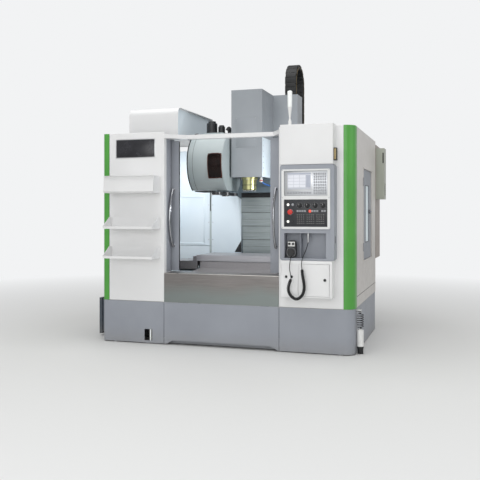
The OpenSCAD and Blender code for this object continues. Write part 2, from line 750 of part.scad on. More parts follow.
module cooling_unit() color([0.72, 0.73, 0.70]) placed() difference() {
    block([right_x, cooler_x1], [cab_y0 + 10, cab_y0 + 190], [cooler_z0, cooler_z1]);
    for (i = [0 : 5]) block([cooler_x1 - 8, cooler_x1 + 1], [cab_y0 + 40, cab_y0 + 160],
        [cooler_z0 + 50 + i * 22, cooler_z0 + 62 + i * 22]);
    block([cooler_x1 - 18, cooler_x1 - 6], [cab_y0 + 9, cab_y0 + 18], [cooler_z1 - 165, cooler_z1 - 50]);
}

// Tank that slides under the base from the left, with its end plate outside
module coolant_tank() color(grey) placed() {
    x1 = -bed_w / 2 - 60;
    difference() {
        block([tank_x0 + 30, x1], [tank_y0 + 10, tank_y1], [40, pan_z0 - 16]);
        block([tank_x0 + 36, x1 - 6], [tank_y0 + 16, tank_y1 - 6], [46, pan_z0]);
    }
    block([tank_x0, tank_x0 + 30], [tank_y0, tank_y1 + 10], [20, pan_z0 - 6]);
    for (y = [tank_y0 + 80, tank_y1 - 120]) block([tank_x0 + 60, x1 - 40], [y, y + 50], [0, 40]);
}

module hand_pendant() color(dark) placed() {
    x = port_x0 + 60;
    y = console_y + 20;
    difference() {
        upright(y, y + 44) union() {
            rounded_rect([x - 36, x + 38], [niche_z0 + 16, niche_z0 + 158], 26);
            rounded_rect([x - 44, x + 40], [niche_z0 + 4, niche_z0 + 90], 30);
        }
        rod_y(x - 2, y - 1, y + 20, niche_z0 + 50, wheel_d / 2 + 1);
        rod_y(x - 2, y, y + 35, niche_z0 + 50, 6.05);
    }
    for (dx = [-16, 18]) rod_y(x + dx, y - 12, y, niche_z0 + 128, 9);
    block([x - 30, x + 32], [y + 44, console_y + niche_d], [niche_z0 + 30, niche_z0 + 90]);
    rod_y(console_x0 + 103, console_y - 6, y, niche_z0 + 12, 6);
}

module pendant_wheel() color([0.16, 0.16, 0.17]) placed() {
    x = port_x0 + 58;
    y = console_y + 20;
    rod_y(x, y, y + 34, niche_z0 + 50, 6);
    difference() {
        rod_y(x, y - 8, y + 12, niche_z0 + 50, wheel_d / 2);
        rod_y(x, y - 9, y - 4, niche_z0 + 50, wheel_d / 2 - 5);
    }
    rod_y(x + 18, y - 18, y - 4, niche_z0 + 50, 5);
}

module on_console() translate([console_x0, console_y, console_z0]) children();

module pendant_lead() color(dark) placed() on_console() {
    swept_tube(handset_lead, lead_r, 4, 8);
    swept_tube(plug_part, lead_r, 4, 8);
}

module pendant_coil() color(dark) placed() on_console() swept_tube(curly_part, coil_r, 4, 12);

module pendant_plug() color(steel) placed() on_console() translate([250, 40, 160]) {
    cylinder(h = 30, d = 16);
    translate([0, 0, 30]) cylinder(h = niche_z1 - console_z0 - 190, d = 26);
}

module air_hose() color(dark) placed() {
    translate([right_x + air_dx, 120, 226]) cylinder(h = 150, d = 70);
    rod_x(right_x, right_x + air_dx, 120, 392, 14);
    translate([right_x + air_dx, 120, 376]) cylinder(h = 30, d = 24);
}

module air_gun() color([0.90, 0.90, 0.91]) placed() translate([right_x + air_dx, 120, 0]) {
    cylinder(h = 62, d = 52);
    translate([0, 0, 62]) cylinder(h = 156, d = 60);
    translate([0, 0, 218]) cylinder(h = 8, d = 26);
}

module drum(x0, x1, r) rod_x(x0, x1, spindle_y, drum_z, r);

// Round housing with its axis along X, flat below and open at the rear
module magazine_cover() color([0.66, 0.71, 0.71]) placed() difference() {
    union() {
        difference() {
            drum(drum_x0, drum_x1, drum_r);
            drum(drum_x0 - 1, drum_x1 - sheet, drum_r - sheet);
        }
        difference() {
            drum(drum_x0, drum_x0 + sheet, drum_r - 1);
            drum(drum_x0 - 1, drum_x0 + sheet + 1, drum_r - 26);
        }
        block([gearbox_x0 + 30, gearbox_x0 + 60], [spindle_y - 120, spindle_y + 120],
            [drum_z + 170, drum_z + drum_r - 24]);
        block([drum_x0 + 85, drum_x0 + 305], [spindle_y - 60, spindle_y + 80],
            [drum_z + drum_r - 12, motor_pad_z]);
    }
    block([drum_x0 - 1, drum_x1 + 1], [spindle_y - drum_r - 1, spindle_y + drum_r + 1],
        [drum_z - drum_r - 1, drum_z0 + 2]);
    block([drum_x0 - 1, drum_x1 + 1], [spindle_y + 275, spindle_y + drum_r + 1],
        [drum_z0, drum_z + drum_r]);
    block([drum_x0 + 230, drum_x0 + 372], [spindle_y - drum_r - 1, spindle_y - 180],
        [drum_z0 + 130, drum_z0 + 370]);
}

// Cam box of the tool changer, its bracket to the column and the magazine's axle
module change_gearbox() color(cast_grey) placed() {
    x = [gearbox_x0, gearbox_x0 + gearbox_w];
    difference() {
        union() {
            block(x, [spindle_y - 80, spindle_y + 150], [drum_z0 - 8, drum_z + 170]);
            block([x[0] - 28, x[1]], [spindle_y - 80, spindle_y + 260], [drum_z - 185, drum_z + 170]);
            rod_x(wheel_x + wheel_t + fit, x[0] - 27, spindle_y, drum_z, 60);
        }
        translate([arm_x, spindle_y, drum_z0 - 9]) cylinder(h = 200, r = shaft_r + bearing_gap);
    }
    rod_x(pot_x + 30, x[0] - 60, spindle_y, drum_z, 40);
    block([-column_w / 2 - 68, -column_w / 2], [spindle_y + 250, column_y0 + 260],
        [drum_z - 165, drum_z + 115]);
}

module servo_motor(d, h) {
    translate([-d / 2, -d / 2, 0]) cube([d, d, h * 0.55]);
    translate([0, 0, h * 0.55]) cylinder(h = h * 0.35, d = d * 0.94);
    translate([0, 0, h * 0.9]) cylinder(h = h * 0.1, d = d * 0.7);
    translate([d * 0.2, -d * 0.7, h * 0.6]) cube([d * 0.25, d * 0.5, d * 0.3]);
}

module servo_motors() color(dark) placed() {
    translate([drum_x0 + 153, spindle_y + 10, motor_pad_z]) servo_motor(126, 130);
    translate([drum_x0 + 262, spindle_y + 10, motor_pad_z]) servo_motor(76, 84);
    translate([0, column_y0 + 140, column_top]) servo_motor(150, 260);
    translate([0, bed_y0, screw_z - 60]) rotate([90, 0, 0]) servo_motor(110, 110);
}

module saddle() color(cast_grey) placed() {
    y = [spindle_y - saddle_half_d, spindle_y + saddle_half_d];
    difference() {
        block([-saddle_half_l, saddle_half_l], y, [saddle_z0, saddle_top]);
        block([-rail_x_y + 60, rail_x_y - 60], [y[0] - 1, y[1] + 1], [saddle_z0 - 1, saddle_z0 + 50]);
        for (s = [-1, 1]) block([s * 430 - 50, s * 430 + 50], [y[0] - 1, y[1] + 1],
            [saddle_z0 - 1, saddle_z0 + 60]);
    }
    difference() {
        block([-45, 45], [spindle_y - 60, spindle_y + 60], [bed_top - 32, saddle_z0 + 60]);
        rod_y(0, spindle_y - 61, spindle_y + 61, screw_z, screw_d / 2 + fit);
    }
    for (dy = [-160, 160]) block([-saddle_half_l, saddle_half_l],
        [spindle_y + dy - 20, spindle_y + dy + 20],
        [saddle_top, saddle_top + x_rail_h]);
    for (s = [-1, 1]) {
        block([min(s * saddle_half_l, s * saddle_reach), max(s * saddle_half_l, s * saddle_reach)],
            [spindle_y - 225, spindle_y + 225], [saddle_top - 30, saddle_top - 24]);
        block([s * saddle_reach - 3, s * saddle_reach + 3], [spindle_y - 225, spindle_y + 225],
            [saddle_top - 30, saddle_top + 90]);
    }
    rod_x(saddle_half_l, saddle_half_l + 190, spindle_y, saddle_z0 + 60, 58);
}

module work_table() color(steel) placed() {
    x = [-table_l / 2, table_l / 2];
    slot_depth = 14;
    difference() {
        block(x, [spindle_y - table_w / 2, spindle_y + table_w / 2], [table_top - slab_t, table_top]);
        for (i = [0 : slot_count - 1]) translate([0, spindle_y + (i - (slot_count - 1) / 2) * slot_pitch,
            0]) {
            block([x[0] - 1, x[1] + 1], [-slot_w / 2, slot_w / 2],
                [table_top - slot_depth - 14, table_top + 1]);
            block([x[0] - 1, x[1] + 1], [-slot_w * 0.83, slot_w * 0.83],
                [table_top - slot_depth - 14, table_top - slot_depth]);
        }
    }
    block([x[0] + 40, x[1] - 40], [spindle_y - table_w / 2 + 50, spindle_y + table_w / 2 - 50],
        [table_z0, table_top - slab_t]);
}

// Telescopic covers on both sides of the table: nested hoods, largest at the table
module x_covers() color([0.27, 0.31, 0.36]) placed() for (s = [-1, 1]) mirror([s > 0 ? 0 : 1, 0, 0]) {
    start = table_l / 2;
    step = (saddle_reach - 3 - start) / 6;
    hood_section(start, start + 50, 225, saddle_top, table_top - 15);
    for (i = [0 : 5]) hood_section(start + i * step, start + (i + 1) * step, 222 - 4 * i, saddle_top - 10,
        table_top - slab_t - 4 * i);
}

module hood_section(x0, x1, half_d, z0, z1) difference() {
    block([x0, x1], [spindle_y - half_d, spindle_y + half_d], [z0, z1]);
    block([x0 - 1, x1 + 1], [spindle_y - half_d + 22, spindle_y + half_d - 22], [z0 - 1, z1 - 22]);
}

// Telescopic cover from the saddle's front to the pan's upstand
module y_cover() color(steel) placed() {
    y1 = spindle_y - saddle_half_d;
    y0 = door_y + leaf_t + 6;
    n = 5;
    step = (y1 - y0 - 8) / n;
    block([-450, 450], [y1 - 8, y1], [saddle_z0 + 2, table_top - slab_t - 5]);
    for (i = [0 : n - 1]) y_section(y1 - 8 - (i + 1) * step, y1 - 8 - i * step, 448 - 4 * i,
        saddle_top + 8 - 4 * i);
}

module y_section(y0, y1, half_x, z1) difference() {
    block([-half_x, half_x], [y0, y1], [saddle_z0 + 2, z1]);
    block([-half_x + 22, half_x - 22], [y0 - 1, y1 + 1], [saddle_z0, z1 - 22]);
}

module spindle_head() color(cast_grey) placed() {
    inner = head_w / 2 - sheet;
    difference() {
        union() {
            block([-slide_w / 2, slide_w / 2], [head_back_y - slide_t, head_back_y], [slide_z0, slide_z1]);
            for (s = [-1, 1], z = [slide_z0 + 30, slide_z1 - 170])
                block([s * rail_x_z - 48, s * rail_x_z + 48], [head_back_y, column_y0 - 6], [z, z + 140]);
            block([-42, 42], [head_back_y, column_y0 - 4], [slide_z0 + 220, slide_z0 + 310]);
        }
        for (s = [-1, 1]) block([s * rail_x_z - rail_w / 2 - fit, s * rail_x_z + rail_w / 2 + fit],
            [head_back_y, column_y0], [slide_z0 - 1, slide_z1 + 1]);
        translate([0, guide_y + rail_w / 2, slide_z0]) cylinder(h = 400, d = screw_d + 2 * fit);
    }
    difference() {
        along_x(-135, 135) polygon([
            [head_front_y + 15, head_z0 + 5], [head_back_y - slide_t, head_z0 + 5],
            [head_back_y - slide_t, head_z0 + 440], [head_rear_y - 60, head_z0 + 400],
                [head_front_y + 15, head_z0 + 400]
        ]);
        translate([0, spindle_y, head_z0]) cylinder(h = 380, d = spindle_d + 2 * bearing_gap);
    }
    block([-inner, inner], [head_front_y + sheet, head_rear_y], [head_z0 + 350, head_z0 + 400]);
    translate([0, spindle_y + 60, head_z0 + 400]) servo_motor(200, 380);
}

// Sheet cover over the head and the cable box beside it
module head_cover() color([0.60, 0.63, 0.67]) placed() {
    half = head_w / 2;
    difference() {
        block([-half, half], [head_front_y, head_rear_y], [head_z0, head_top]);
        block([-half + sheet, half - sheet], [head_front_y + sheet, head_rear_y + 1],
            [head_z0 - 1, head_top - sheet]);
    }
    difference() {
        block([half - 4, box_x1], [head_rear_y, cover_y + 4], [slide_z1, head_top]);
        block([half + 2, box_x1 - 6], [head_rear_y + 6, cover_y - 2], [slide_z1 + 6, head_top - 6]);
    }
    block([chain_x0, chain_x0 + chain_w], [cover_y + 4, chain_y - chain_t / 2],
        [chain_moving_z, chain_moving_z + 90]);
}

module spindle_nose() color([0.72, 0.66, 0.30]) placed() translate([0, spindle_y, 0]) difference() {
    union() {
        translate([0, 0, nose_z0 + 118]) cylinder(h = head_z0 + 5 - nose_z0 - 118, d = nose_d + 26);
        translate([0, 0, nose_z0 + 14]) cylinder(h = 104, d = nose_d);
        translate([0, 0, nose_z0 + 4]) cylinder(h = 10, d1 = nose_d - 24, d2 = nose_d);
    }
    translate([0, 0, nose_z0]) cylinder(h = 200, d = spindle_d + 2 * bearing_gap);
}

module spindle_rotor() color([0.75, 0.75, 0.76]) placed() translate([0, spindle_y, 0]) difference() {
    union() {
        translate([0, 0, nose_z0]) cylinder(h = 440, d = spindle_d);
        for (s = [-1, 1]) block([s * 35 - 7, s * 35 + 7], [-8, 8], [nose_z0 - 5, nose_z0]);
    }
    translate([0, 0, nose_z0 - 0.01]) cylinder(h = taper_l, d1 = taper_d, d2 = taper_d - taper_l * 7 / 24);
    translate([0, 0, nose_z0]) cylinder(h = 130, d = 17);
}

// Cable chain along a hairpin: wide and narrow links in turn, their side plates lapping at each joint
function chain_place(s, leg1, arch) = s < leg1 ? [0, chain_moving_z + s, 0]
    : s < leg1 + arch ? let (a = (s - leg1) / arch * 180) [chain_r - chain_r * cos(a),
        chain_top_z - chain_r + chain_r * sin(a), a]
    : [2 * chain_r, chain_top_z - chain_r - (s - leg1 - arch), 180];

module cable_chain() color(dark) placed() {
    leg1 = chain_top_z - chain_r - chain_moving_z;
    arch = PI * chain_r;
    leg2 = chain_top_z - chain_r - chain_fixed_z;
    count = floor((leg1 + arch + leg2) / link_pitch);
    pitch = (leg1 + arch + leg2) / count;
    for (i = [0 : count - 1]) {
        place = chain_place((i + 0.5) * pitch, leg1, arch);
        translate([chain_x0, chain_y + place[0], place[1]]) rotate([-place[2], 0, 0])
            chain_link(pitch, i % 2 == 0 ? 0 : 8 + fit);
    }
}

module chain_link(pitch, inset) {
    for (x = [inset, chain_w - 8 - inset])
        translate([x, 2 - chain_t / 2, -pitch / 2 - link_lap]) cube([8, chain_t - 4, pitch + 2 * link_lap]);
    for (y = [-chain_t / 2, chain_t / 2 - 6]) translate([inset + 4, y, -8])
        cube([chain_w - 8 - 2 * inset, 6, 16]);
}

module coolant_hose() color([0.12, 0.28, 0.52]) placed() translate([0, spindle_y, head_z0])
    swept_tube(hose_route, hose_r, 6, 8);

// Magazine wheel with its ring of tool pots, turned about the X axis
module magazine_disc() color([0.55, 0.57, 0.58]) placed() {
    difference() {
        drum(wheel_x, wheel_x + wheel_t, pot_ring_r + 14);
        drum(wheel_x - 1, wheel_x + wheel_t + 1, 40 + bearing_gap);
        for (a = [0 : 60 : 300]) translate([0, spindle_y, drum_z]) rotate([a, 0, 0])
            rod_x(wheel_x - 1, wheel_x + wheel_t + 1, 135, 0, 42);
    }
    for (i = [0 : pot_count - 1]) translate([0, spindle_y, drum_z]) rotate([i * 360 / pot_count, 0, 0])
        difference() {
        rod_x(pot_x - 6, wheel_x + 2, 0, -pot_ring_r, pot_d / 2);
        rod_x(pot_x - 7, pot_x + 70, 0, -pot_ring_r, pot_d / 2 - 9);
    }
}

module arm_shaft() color(steel) placed() translate([arm_x, spindle_y, 0]) {
    translate([0, 0, arm_z1 + fit]) cylinder(h = 190, r = shaft_r);
    translate([0, 0, arm_z0 - 4]) cylinder(h = arm_t + 6, r = stub_r);
    translate([0, 0, arm_z0 - 10]) cylinder(h = 10 - fit, r = stub_r + 12);
}

// Double-ended arm with a claw at each end, parked along Y
module change_arm() color([0.13, 0.13, 0.14]) placed() translate([arm_x, spindle_y, arm_z0]) difference() {
    linear_extrude(arm_t) difference() {
        union() {
            circle(56);
            for (s = [0, 180]) rotate(s) {
                translate([-26, 0]) square([52, arm_reach - 30]);
                translate([0, arm_reach]) circle(52);
            }
        }
        for (s = [0, 180]) rotate(s) translate([0, arm_reach]) {
            circle(33);
            translate([0, -24]) square([60, 48]);
        }
    }
    translate([0, 0, -1]) cylinder(h = arm_t + 2, r = stub_r + bearing_gap);
}

// Door leaf with its window hole; x0 is the leaf's left edge
module door_leaf(x0) difference() {
    block([x0, x0 + leaf_w], [door_y, door_y + leaf_t], [door_z0, door_z1]);
    upright(door_y - 1, door_y + leaf_t + 1) window_outline(x0, 0);
    upright(door_y + 6, door_y + 15) window_outline(x0, 8);
}

module window_outline(x0, grow) rounded_rect(
    [x0 + (leaf_w - window_w) / 2 - grow, x0 + (leaf_w + window_w) / 2 + grow],
    [door_z0 + 330 - grow, door_z0 + 330 + window_h + grow], 40 + grow);

module door_hangers(x0) for (dx = [60, leaf_w - 120])
    block([x0 + dx, x0 + dx + 60], [door_y + 4, door_y + leaf_t - 4], [door_z1, door_z1 + 13 - fit]);

// Bow handle: an arc of tube on two feet
module door_handle(x) {
    half = handle_h / 2;
    rise = handle_reach - 20;
    r = (half * half + rise * rise) / (2 * rise);
    sweep = 2 * asin(half / r);
    translate([x, door_y - handle_reach + r, door_z0 + 518]) rotate([0, 90, 0])
        rotate([0, 0, 180 - sweep / 2 + 90]) rotate_extrude(angle = sweep) translate([r, 0])
            circle(d = handle_d);
    for (s = [-1, 1]) rod_y(x, door_y - 27, door_y, door_z0 + 518 + s * (half - 6), handle_d / 2 + 2);
}

module left_door() color(grey) placed() {
    door_leaf(left_leaf_x1 - leaf_w);
    door_hangers(left_leaf_x1 - leaf_w);
    door_handle(left_leaf_x1 - handle_inset);
}

module right_door() color(grey) placed() {
    door_leaf(right_leaf_x0);
    door_hangers(right_leaf_x0);
    door_handle(right_leaf_x0 + handle_inset);
}

module left_window() color([0.80, 0.88, 0.92, 0.4]) placed()
    upright(door_y + 7, door_y + 14) window_outline(left_leaf_x1 - leaf_w, 7);

module right_window() color([0.80, 0.88, 0.92, 0.4]) placed()
    upright(door_y + 7, door_y + 14) window_outline(right_leaf_x0, 7);

module cabinet_door() color(cream) placed() {
    difference() {
        block([cabinet_x0 + 2, cabinet_x1 - 2], [console_y - 2, console_y + 18],
            [cabinet_z0 + 2, cabinet_z1 - 2]);
        block([cabinet_x0 + 20, cabinet_x1 - 20], [console_y + 2, console_y + 19],
            [cabinet_z0 + 20, cabinet_z1 - 20]);
    }
    rod_y(cabinet_x1 - 38, console_y - 10, console_y + 2, (cabinet_z0 + cabinet_z1) / 2 + 6, 12);
    for (z = [cabinet_z0 + 30, cabinet_z1 - 60])
        translate([cabinet_x0 + 2, console_y - 3 - fit, z]) cylinder(h = 30, d = 6);
}

module side_door() color(grey) placed() {
    y = [side_leaf_y0, bay_y1 - 3];
    difference() {
        block([right_x - 24, right_x - 10], y, [bay_z0 + 3, bay_z1 - 3]);
        block([right_x - 25, right_x - 9], [pane_y0, pane_y1], [pane_z0, pane_z1]);
    }
    for (z = [bay_z0 + 90, bay_z1 - 170]) {
        translate([side_hinge_x, bay_y0 - 8, z]) cylinder(h = 80, d = 12);
        block([right_x + fit, side_hinge_x + 3], [bay_y0 - 8, side_leaf_y0 + 12], [z + 4, z + 76]);
        block([right_x - 10, right_x + fit], [side_leaf_y0, side_leaf_y0 + 12], [z + 4, z + 76]);
    }
    rod_x(right_x - 10, right_x + 6, pane_y1 + 41, (bay_z0 + bay_z1) / 2 + 28, 16);
    block([right_x + 6, right_x + 12], [pane_y1 + 33, pane_y1 + 91],
        [(bay_z0 + bay_z1) / 2 + 20, (bay_z0 + bay_z1) / 2 + 36]);
}

module side_window() color([0.80, 0.88, 0.92, 0.4]) placed()
    block([right_x - 20, right_x - 14], [pane_y0, pane_y1], [pane_z0, pane_z1]);

// One plate of the column's way cover; level 0 is the fixed, innermost one
module cover_plate(level, top, h = plate_h, rear = column_y0 - 2) {
    y = cover_y - level * (plate_t + plate_gap);
    half = cover_w / 2 - (plate_count - 1 - level) * (plate_t + plate_gap);
    difference() {
        block([-half, half], [y, rear], [top - h, top]);
        block([-half + plate_t, half - plate_t], [y + plate_t, rear + 1], [top - h - 1, top + 1]);
    }
    if (level > 0) block([-half + 6, half - 6], [y + plate_t, y + plate_t + plate_gap - fit],
        [top - h, top - h + 10]);
}

module z_cover_top() color(steel) placed() {
    cover_plate(4, cover_z1);
    difference() {
        block([-slide_w / 2, slide_w / 2], [head_back_y - 60, head_back_y], [cover_z1, slide_z0]);
        for (s = [-1, 1]) block([s * rail_x_z - 50, s * rail_x_z + 50], [guide_y - 1, column_y0],
            [cover_z1 - 1, slide_z0 + 1]);
    }
}

module z_cover_upper() color(steel) placed() cover_plate(3, cover_z1 - cover_step);

module z_cover_middle() color(steel) placed() cover_plate(2, cover_z1 - 2 * cover_step);

module z_cover_lower() color(steel) placed() cover_plate(1, cover_z1 - 3 * cover_step);

levelling_feet();
machine_bed();
column();
guide_rails();
base_pan();
front_skirts();
left_tower();
right_tower();
corner_posts();
front_beam();
front_apron();
left_wall();
right_wall();
rear_guards();
magazine_hood();
tool_shelves();
console_housing();
operator_console();
display_unit();
control_panel();
signal_lamp();
electrical_cabinet();
cooling_unit();
coolant_tank();
hand_pendant();
pendant_lead();
pendant_coil();
pendant_plug();
air_hose();
air_gun();
magazine_cover();
change_gearbox();
servo_motors();
saddle();
work_table();
x_covers();
y_cover();
spindle_head();
head_cover();
spindle_nose();
spindle_rotor();
cable_chain();
coolant_hose();
magazine_disc();
arm_shaft();
change_arm();
left_door();
left_window();
right_door();
right_window();
cabinet_door();
side_door();
side_window();
electrical_door();
emergency_stop();
pendant_wheel();
z_cover_top();
z_cover_upper();
z_cover_middle();
z_cover_lower();
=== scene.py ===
"""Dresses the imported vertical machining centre: a material for every CAD node, and small pieces."""
from math import cos, pi, radians, sin

import bmesh
import bpy
from mathutils import Matrix, Vector


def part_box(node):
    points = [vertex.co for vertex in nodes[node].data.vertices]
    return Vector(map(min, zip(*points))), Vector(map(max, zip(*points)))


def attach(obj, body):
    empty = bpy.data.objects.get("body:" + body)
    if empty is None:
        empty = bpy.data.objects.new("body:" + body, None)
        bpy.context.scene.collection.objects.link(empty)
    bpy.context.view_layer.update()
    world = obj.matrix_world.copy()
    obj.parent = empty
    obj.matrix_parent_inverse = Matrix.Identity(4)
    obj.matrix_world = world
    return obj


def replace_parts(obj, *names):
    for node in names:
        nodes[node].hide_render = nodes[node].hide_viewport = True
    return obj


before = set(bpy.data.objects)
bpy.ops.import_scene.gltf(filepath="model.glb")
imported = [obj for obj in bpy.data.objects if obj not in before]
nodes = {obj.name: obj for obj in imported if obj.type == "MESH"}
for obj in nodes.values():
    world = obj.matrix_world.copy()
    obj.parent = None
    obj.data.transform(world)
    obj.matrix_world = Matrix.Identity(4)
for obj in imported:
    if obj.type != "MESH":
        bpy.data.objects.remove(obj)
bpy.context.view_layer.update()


# Sizes below are millimetres. Places are measured from the spindle's plane, the machine's front plane and the
# floor; the first two lie here in the frame, in metres.
SPINDLE_X, FRONT_Y = 0.070, -0.920


def at(x, y, z):
    return Vector((x / 1000 + SPINDLE_X, y / 1000 + FRONT_Y, z / 1000))


# ---- Camera, light and stage -------------------------------------------------

# The camera's place, turn and lens were solved from the photograph.
camera = bpy.data.objects.new("camera", bpy.data.cameras.new("camera"))
bpy.context.scene.collection.objects.link(camera)
camera.location = (2.196, -7.030, 1.266)
camera.rotation_euler = (radians(90), 0, radians(17.8))
camera.data.lens = 51.75
camera.data.sensor_width = 36
camera.data.shift_y = -0.056
bpy.context.scene.camera = camera
bpy.context.scene.view_settings.view_transform = "Standard"


def area_light(name, place, aim, size, power, tint=(1, 1, 1)):
    lamp = bpy.data.lights.new(name, "AREA")
    lamp.shape = "RECTANGLE"
    lamp.size, lamp.size_y = size
    lamp.energy = power
    lamp.color = tint
    holder = bpy.data.objects.new(name, lamp)
    bpy.context.scene.collection.objects.link(holder)
    holder.location = place
    holder.rotation_euler = (Vector(aim) - Vector(place)).to_track_quat("-Z", "Y").to_euler()


area_light("roof_light", (0.0, -1.5, 6.5), (0, 0, 0.8), (7, 6), 225)
area_light("front_light", (0.6, -7.6, 2.2), (0, 0, 1.0), (6, 3.2), 130)
area_light("right_light", (6.5, -2.0, 3.2), (0.6, 0, 1.2), (4, 3), 34)
# The machine's own work lamps, at its side walls, shine on the rear of the cutting space.
for side, place, aim, power in (("left", (-985, 640, 1790), (-720, 1405, 1080), 7.5),
                                ("right", (860, 480, 1500), (-220, 1405, 1050), 8)):
    area_light(side + "_cabin_light", at(*place), at(*aim), (0.36, 0.14), power, (0.96, 0.98, 1.0))
    bpy.data.objects[side + "_cabin_light"].visible_camera = False


# ---- Materials ---------------------------------------------------------------

STREAK_PITCH = 0.0012


def linear(code):
    """A hex colour as linear RGBA."""
    values = [int(code[i:i + 2], 16) / 255 for i in (1, 3, 5)]
    return tuple(v / 12.92 if v < 0.04045 else ((v + 0.055) / 1.055) ** 2.4 for v in values) + (1,)


def add(tree, kind, links=None, values=None, **settings):
    """Adds one node; links are {input: output socket}, values are {input: value}."""
    made = tree.nodes.new(kind)
    for key, value in settings.items():
        setattr(made, key, value)
    for key, value in (values or {}).items():
        made.inputs[key].default_value = value
    for key, socket in (links or {}).items():
        tree.links.new(socket, made.inputs[key])
    return made


def start(name):
    material = bpy.data.materials.new(name)
    material.use_nodes = True
    tree = material.node_tree
    tree.nodes.clear()
    place = add(tree, "ShaderNodeTexCoord").outputs["Object"]
    shader = add(tree, "ShaderNodeBsdfPrincipled")
    add(tree, "ShaderNodeOutputMaterial", {"Surface": shader.outputs[0]})
    return material, tree, place, shader


def tone(tree, factor, dark, light, low=0.0, high=1.0):
    """A colour ramp between two hex colours."""
    ramp = add(tree, "ShaderNodeValToRGB", {"Fac": factor})
    ramp.color_ramp.elements[0].color = linear(dark)
    ramp.color_ramp.elements[1].color = linear(light)
    ramp.color_ramp.elements[0].position = low
    ramp.color_ramp.elements[1].position = high
    return ramp.outputs["Color"]


def level(tree, factor, low, high, start_at=0.0, end_at=1.0):
    return add(tree, "ShaderNodeMapRange", {"Value": factor},
               {"From Min": start_at, "From Max": end_at, "To Min": low, "To Max": high}).outputs["Result"]


def blended(tree, factor, colour, code):
    """Mixes a colour with a hex colour."""
    mix = add(tree, "ShaderNodeMix", {"Factor": factor}, data_type="RGBA")
    first, second = (s for s in mix.inputs if s.type == "RGBA")
    tree.links.new(colour, first)
    second.default_value = linear(code)
    return [s for s in mix.outputs if s.type == "RGBA"][0]


def enamel(name, light, dark, roughness, peel=0.004, depth=0.00012, coat=0.15, low_tone="#8A857B",
           low_tone_height=0.16):
    """Sprayed enamel on sheet steel: slightly uneven tone, a faint orange peel, and a patchy darker tone low
    down, floor dust near the floor.
    """
    material, tree, place, shader = start(name)
    cloud = add(tree, "ShaderNodeTexNoise", {"Vector": place}, {"Scale": 1.7, "Detail": 3, "Roughness": 0.55})
    colour = tone(tree, cloud.outputs["Fac"], dark, light, 0.3, 0.62)
    height = add(tree, "ShaderNodeSeparateXYZ", {"Vector": place}).outputs["Z"]
    smear = add(tree, "ShaderNodeTexNoise", {"Vector": place}, {"Scale": 14, "Detail": 5, "Roughness": 0.7})
    low_down = level(tree, height, 0.5, 0.0, 0.0, low_tone_height)
    amount = add(tree, "ShaderNodeMath", {0: low_down, 1: smear.outputs["Fac"]},
                 operation="MULTIPLY").outputs[0]
    tree.links.new(blended(tree, amount, colour, low_tone), shader.inputs["Base Color"])
    tree.links.new(level(tree, smear.outputs["Fac"], roughness - 0.06, roughness + 0.10, 0.3, 0.7),
                   shader.inputs["Roughness"])
    skin = add(tree, "ShaderNodeTexNoise", {"Vector": place}, {"Scale": 1 / peel, "Detail": 2})
    bump = add(tree, "ShaderNodeBump", {"Height": skin.outputs["Fac"]}, {"Strength": 0.5, "Distance": depth})
    tree.links.new(bump.outputs["Normal"], shader.inputs["Normal"])
    shader.inputs["Coat Weight"].default_value = coat
    shader.inputs["Coat Roughness"].default_value = 0.12
    return material


def brushed(name, light, dark, roughness, along="X", metal=1.0, stain=0.5, cloudy=0.5, foot=None):
    """Rolled or ground steel: fine streaks along one axis, cloudy stains in its sheen, and with `foot`
    another tone low down."""
    material, tree, place, shader = start(name)
    stretch = {"X": (0.02, 1, 1), "Y": (1, 0.02, 1), "Z": (1, 1, 0.02)}[along]
    streaked = add(tree, "ShaderNodeMapping", {"Vector": place}, {"Scale": stretch}).outputs["Vector"]
    streaks = add(tree, "ShaderNodeTexNoise", {"Vector": streaked},
                  {"Scale": 1 / STREAK_PITCH / 4, "Detail": 4, "Roughness": 0.7})
    clouds = add(tree, "ShaderNodeTexNoise", {"Vector": place}, {"Scale": 2.4, "Detail": 2, "Roughness": 0.5})
    blend = add(tree, "ShaderNodeMath", {0: clouds.outputs["Fac"], 2: streaks.outputs["Fac"]}, {1: cloudy},
                operation="MULTIPLY_ADD").outputs[0]
    colour = tone(tree, level(tree, blend, 0, 1, 0.35 + 0.3 * cloudy, 0.65 + 0.7 * cloudy), dark, light)
    if foot:
        height = add(tree, "ShaderNodeSeparateXYZ", {"Vector": place}).outputs["Z"]
        ragged = add(tree, "ShaderNodeMath", {0: clouds.outputs["Fac"], 2: height}, {1: 0.16},
                     operation="MULTIPLY_ADD").outputs[0]
        colour = blended(tree, level(tree, ragged, 1, 0, 0.56, 0.68), colour, foot)
    tree.links.new(colour, shader.inputs["Base Color"])
    tree.links.new(level(tree, clouds.outputs["Fac"], roughness, roughness + 0.22 * stain, 0.35, 0.65),
                   shader.inputs["Roughness"])
    bump = add(tree, "ShaderNodeBump", {"Height": streaks.outputs["Fac"]},
               {"Strength": 0.4, "Distance": 0.00008})
    tree.links.new(bump.outputs["Normal"], shader.inputs["Normal"])
    shader.inputs["Metallic"].default_value = metal
    return material


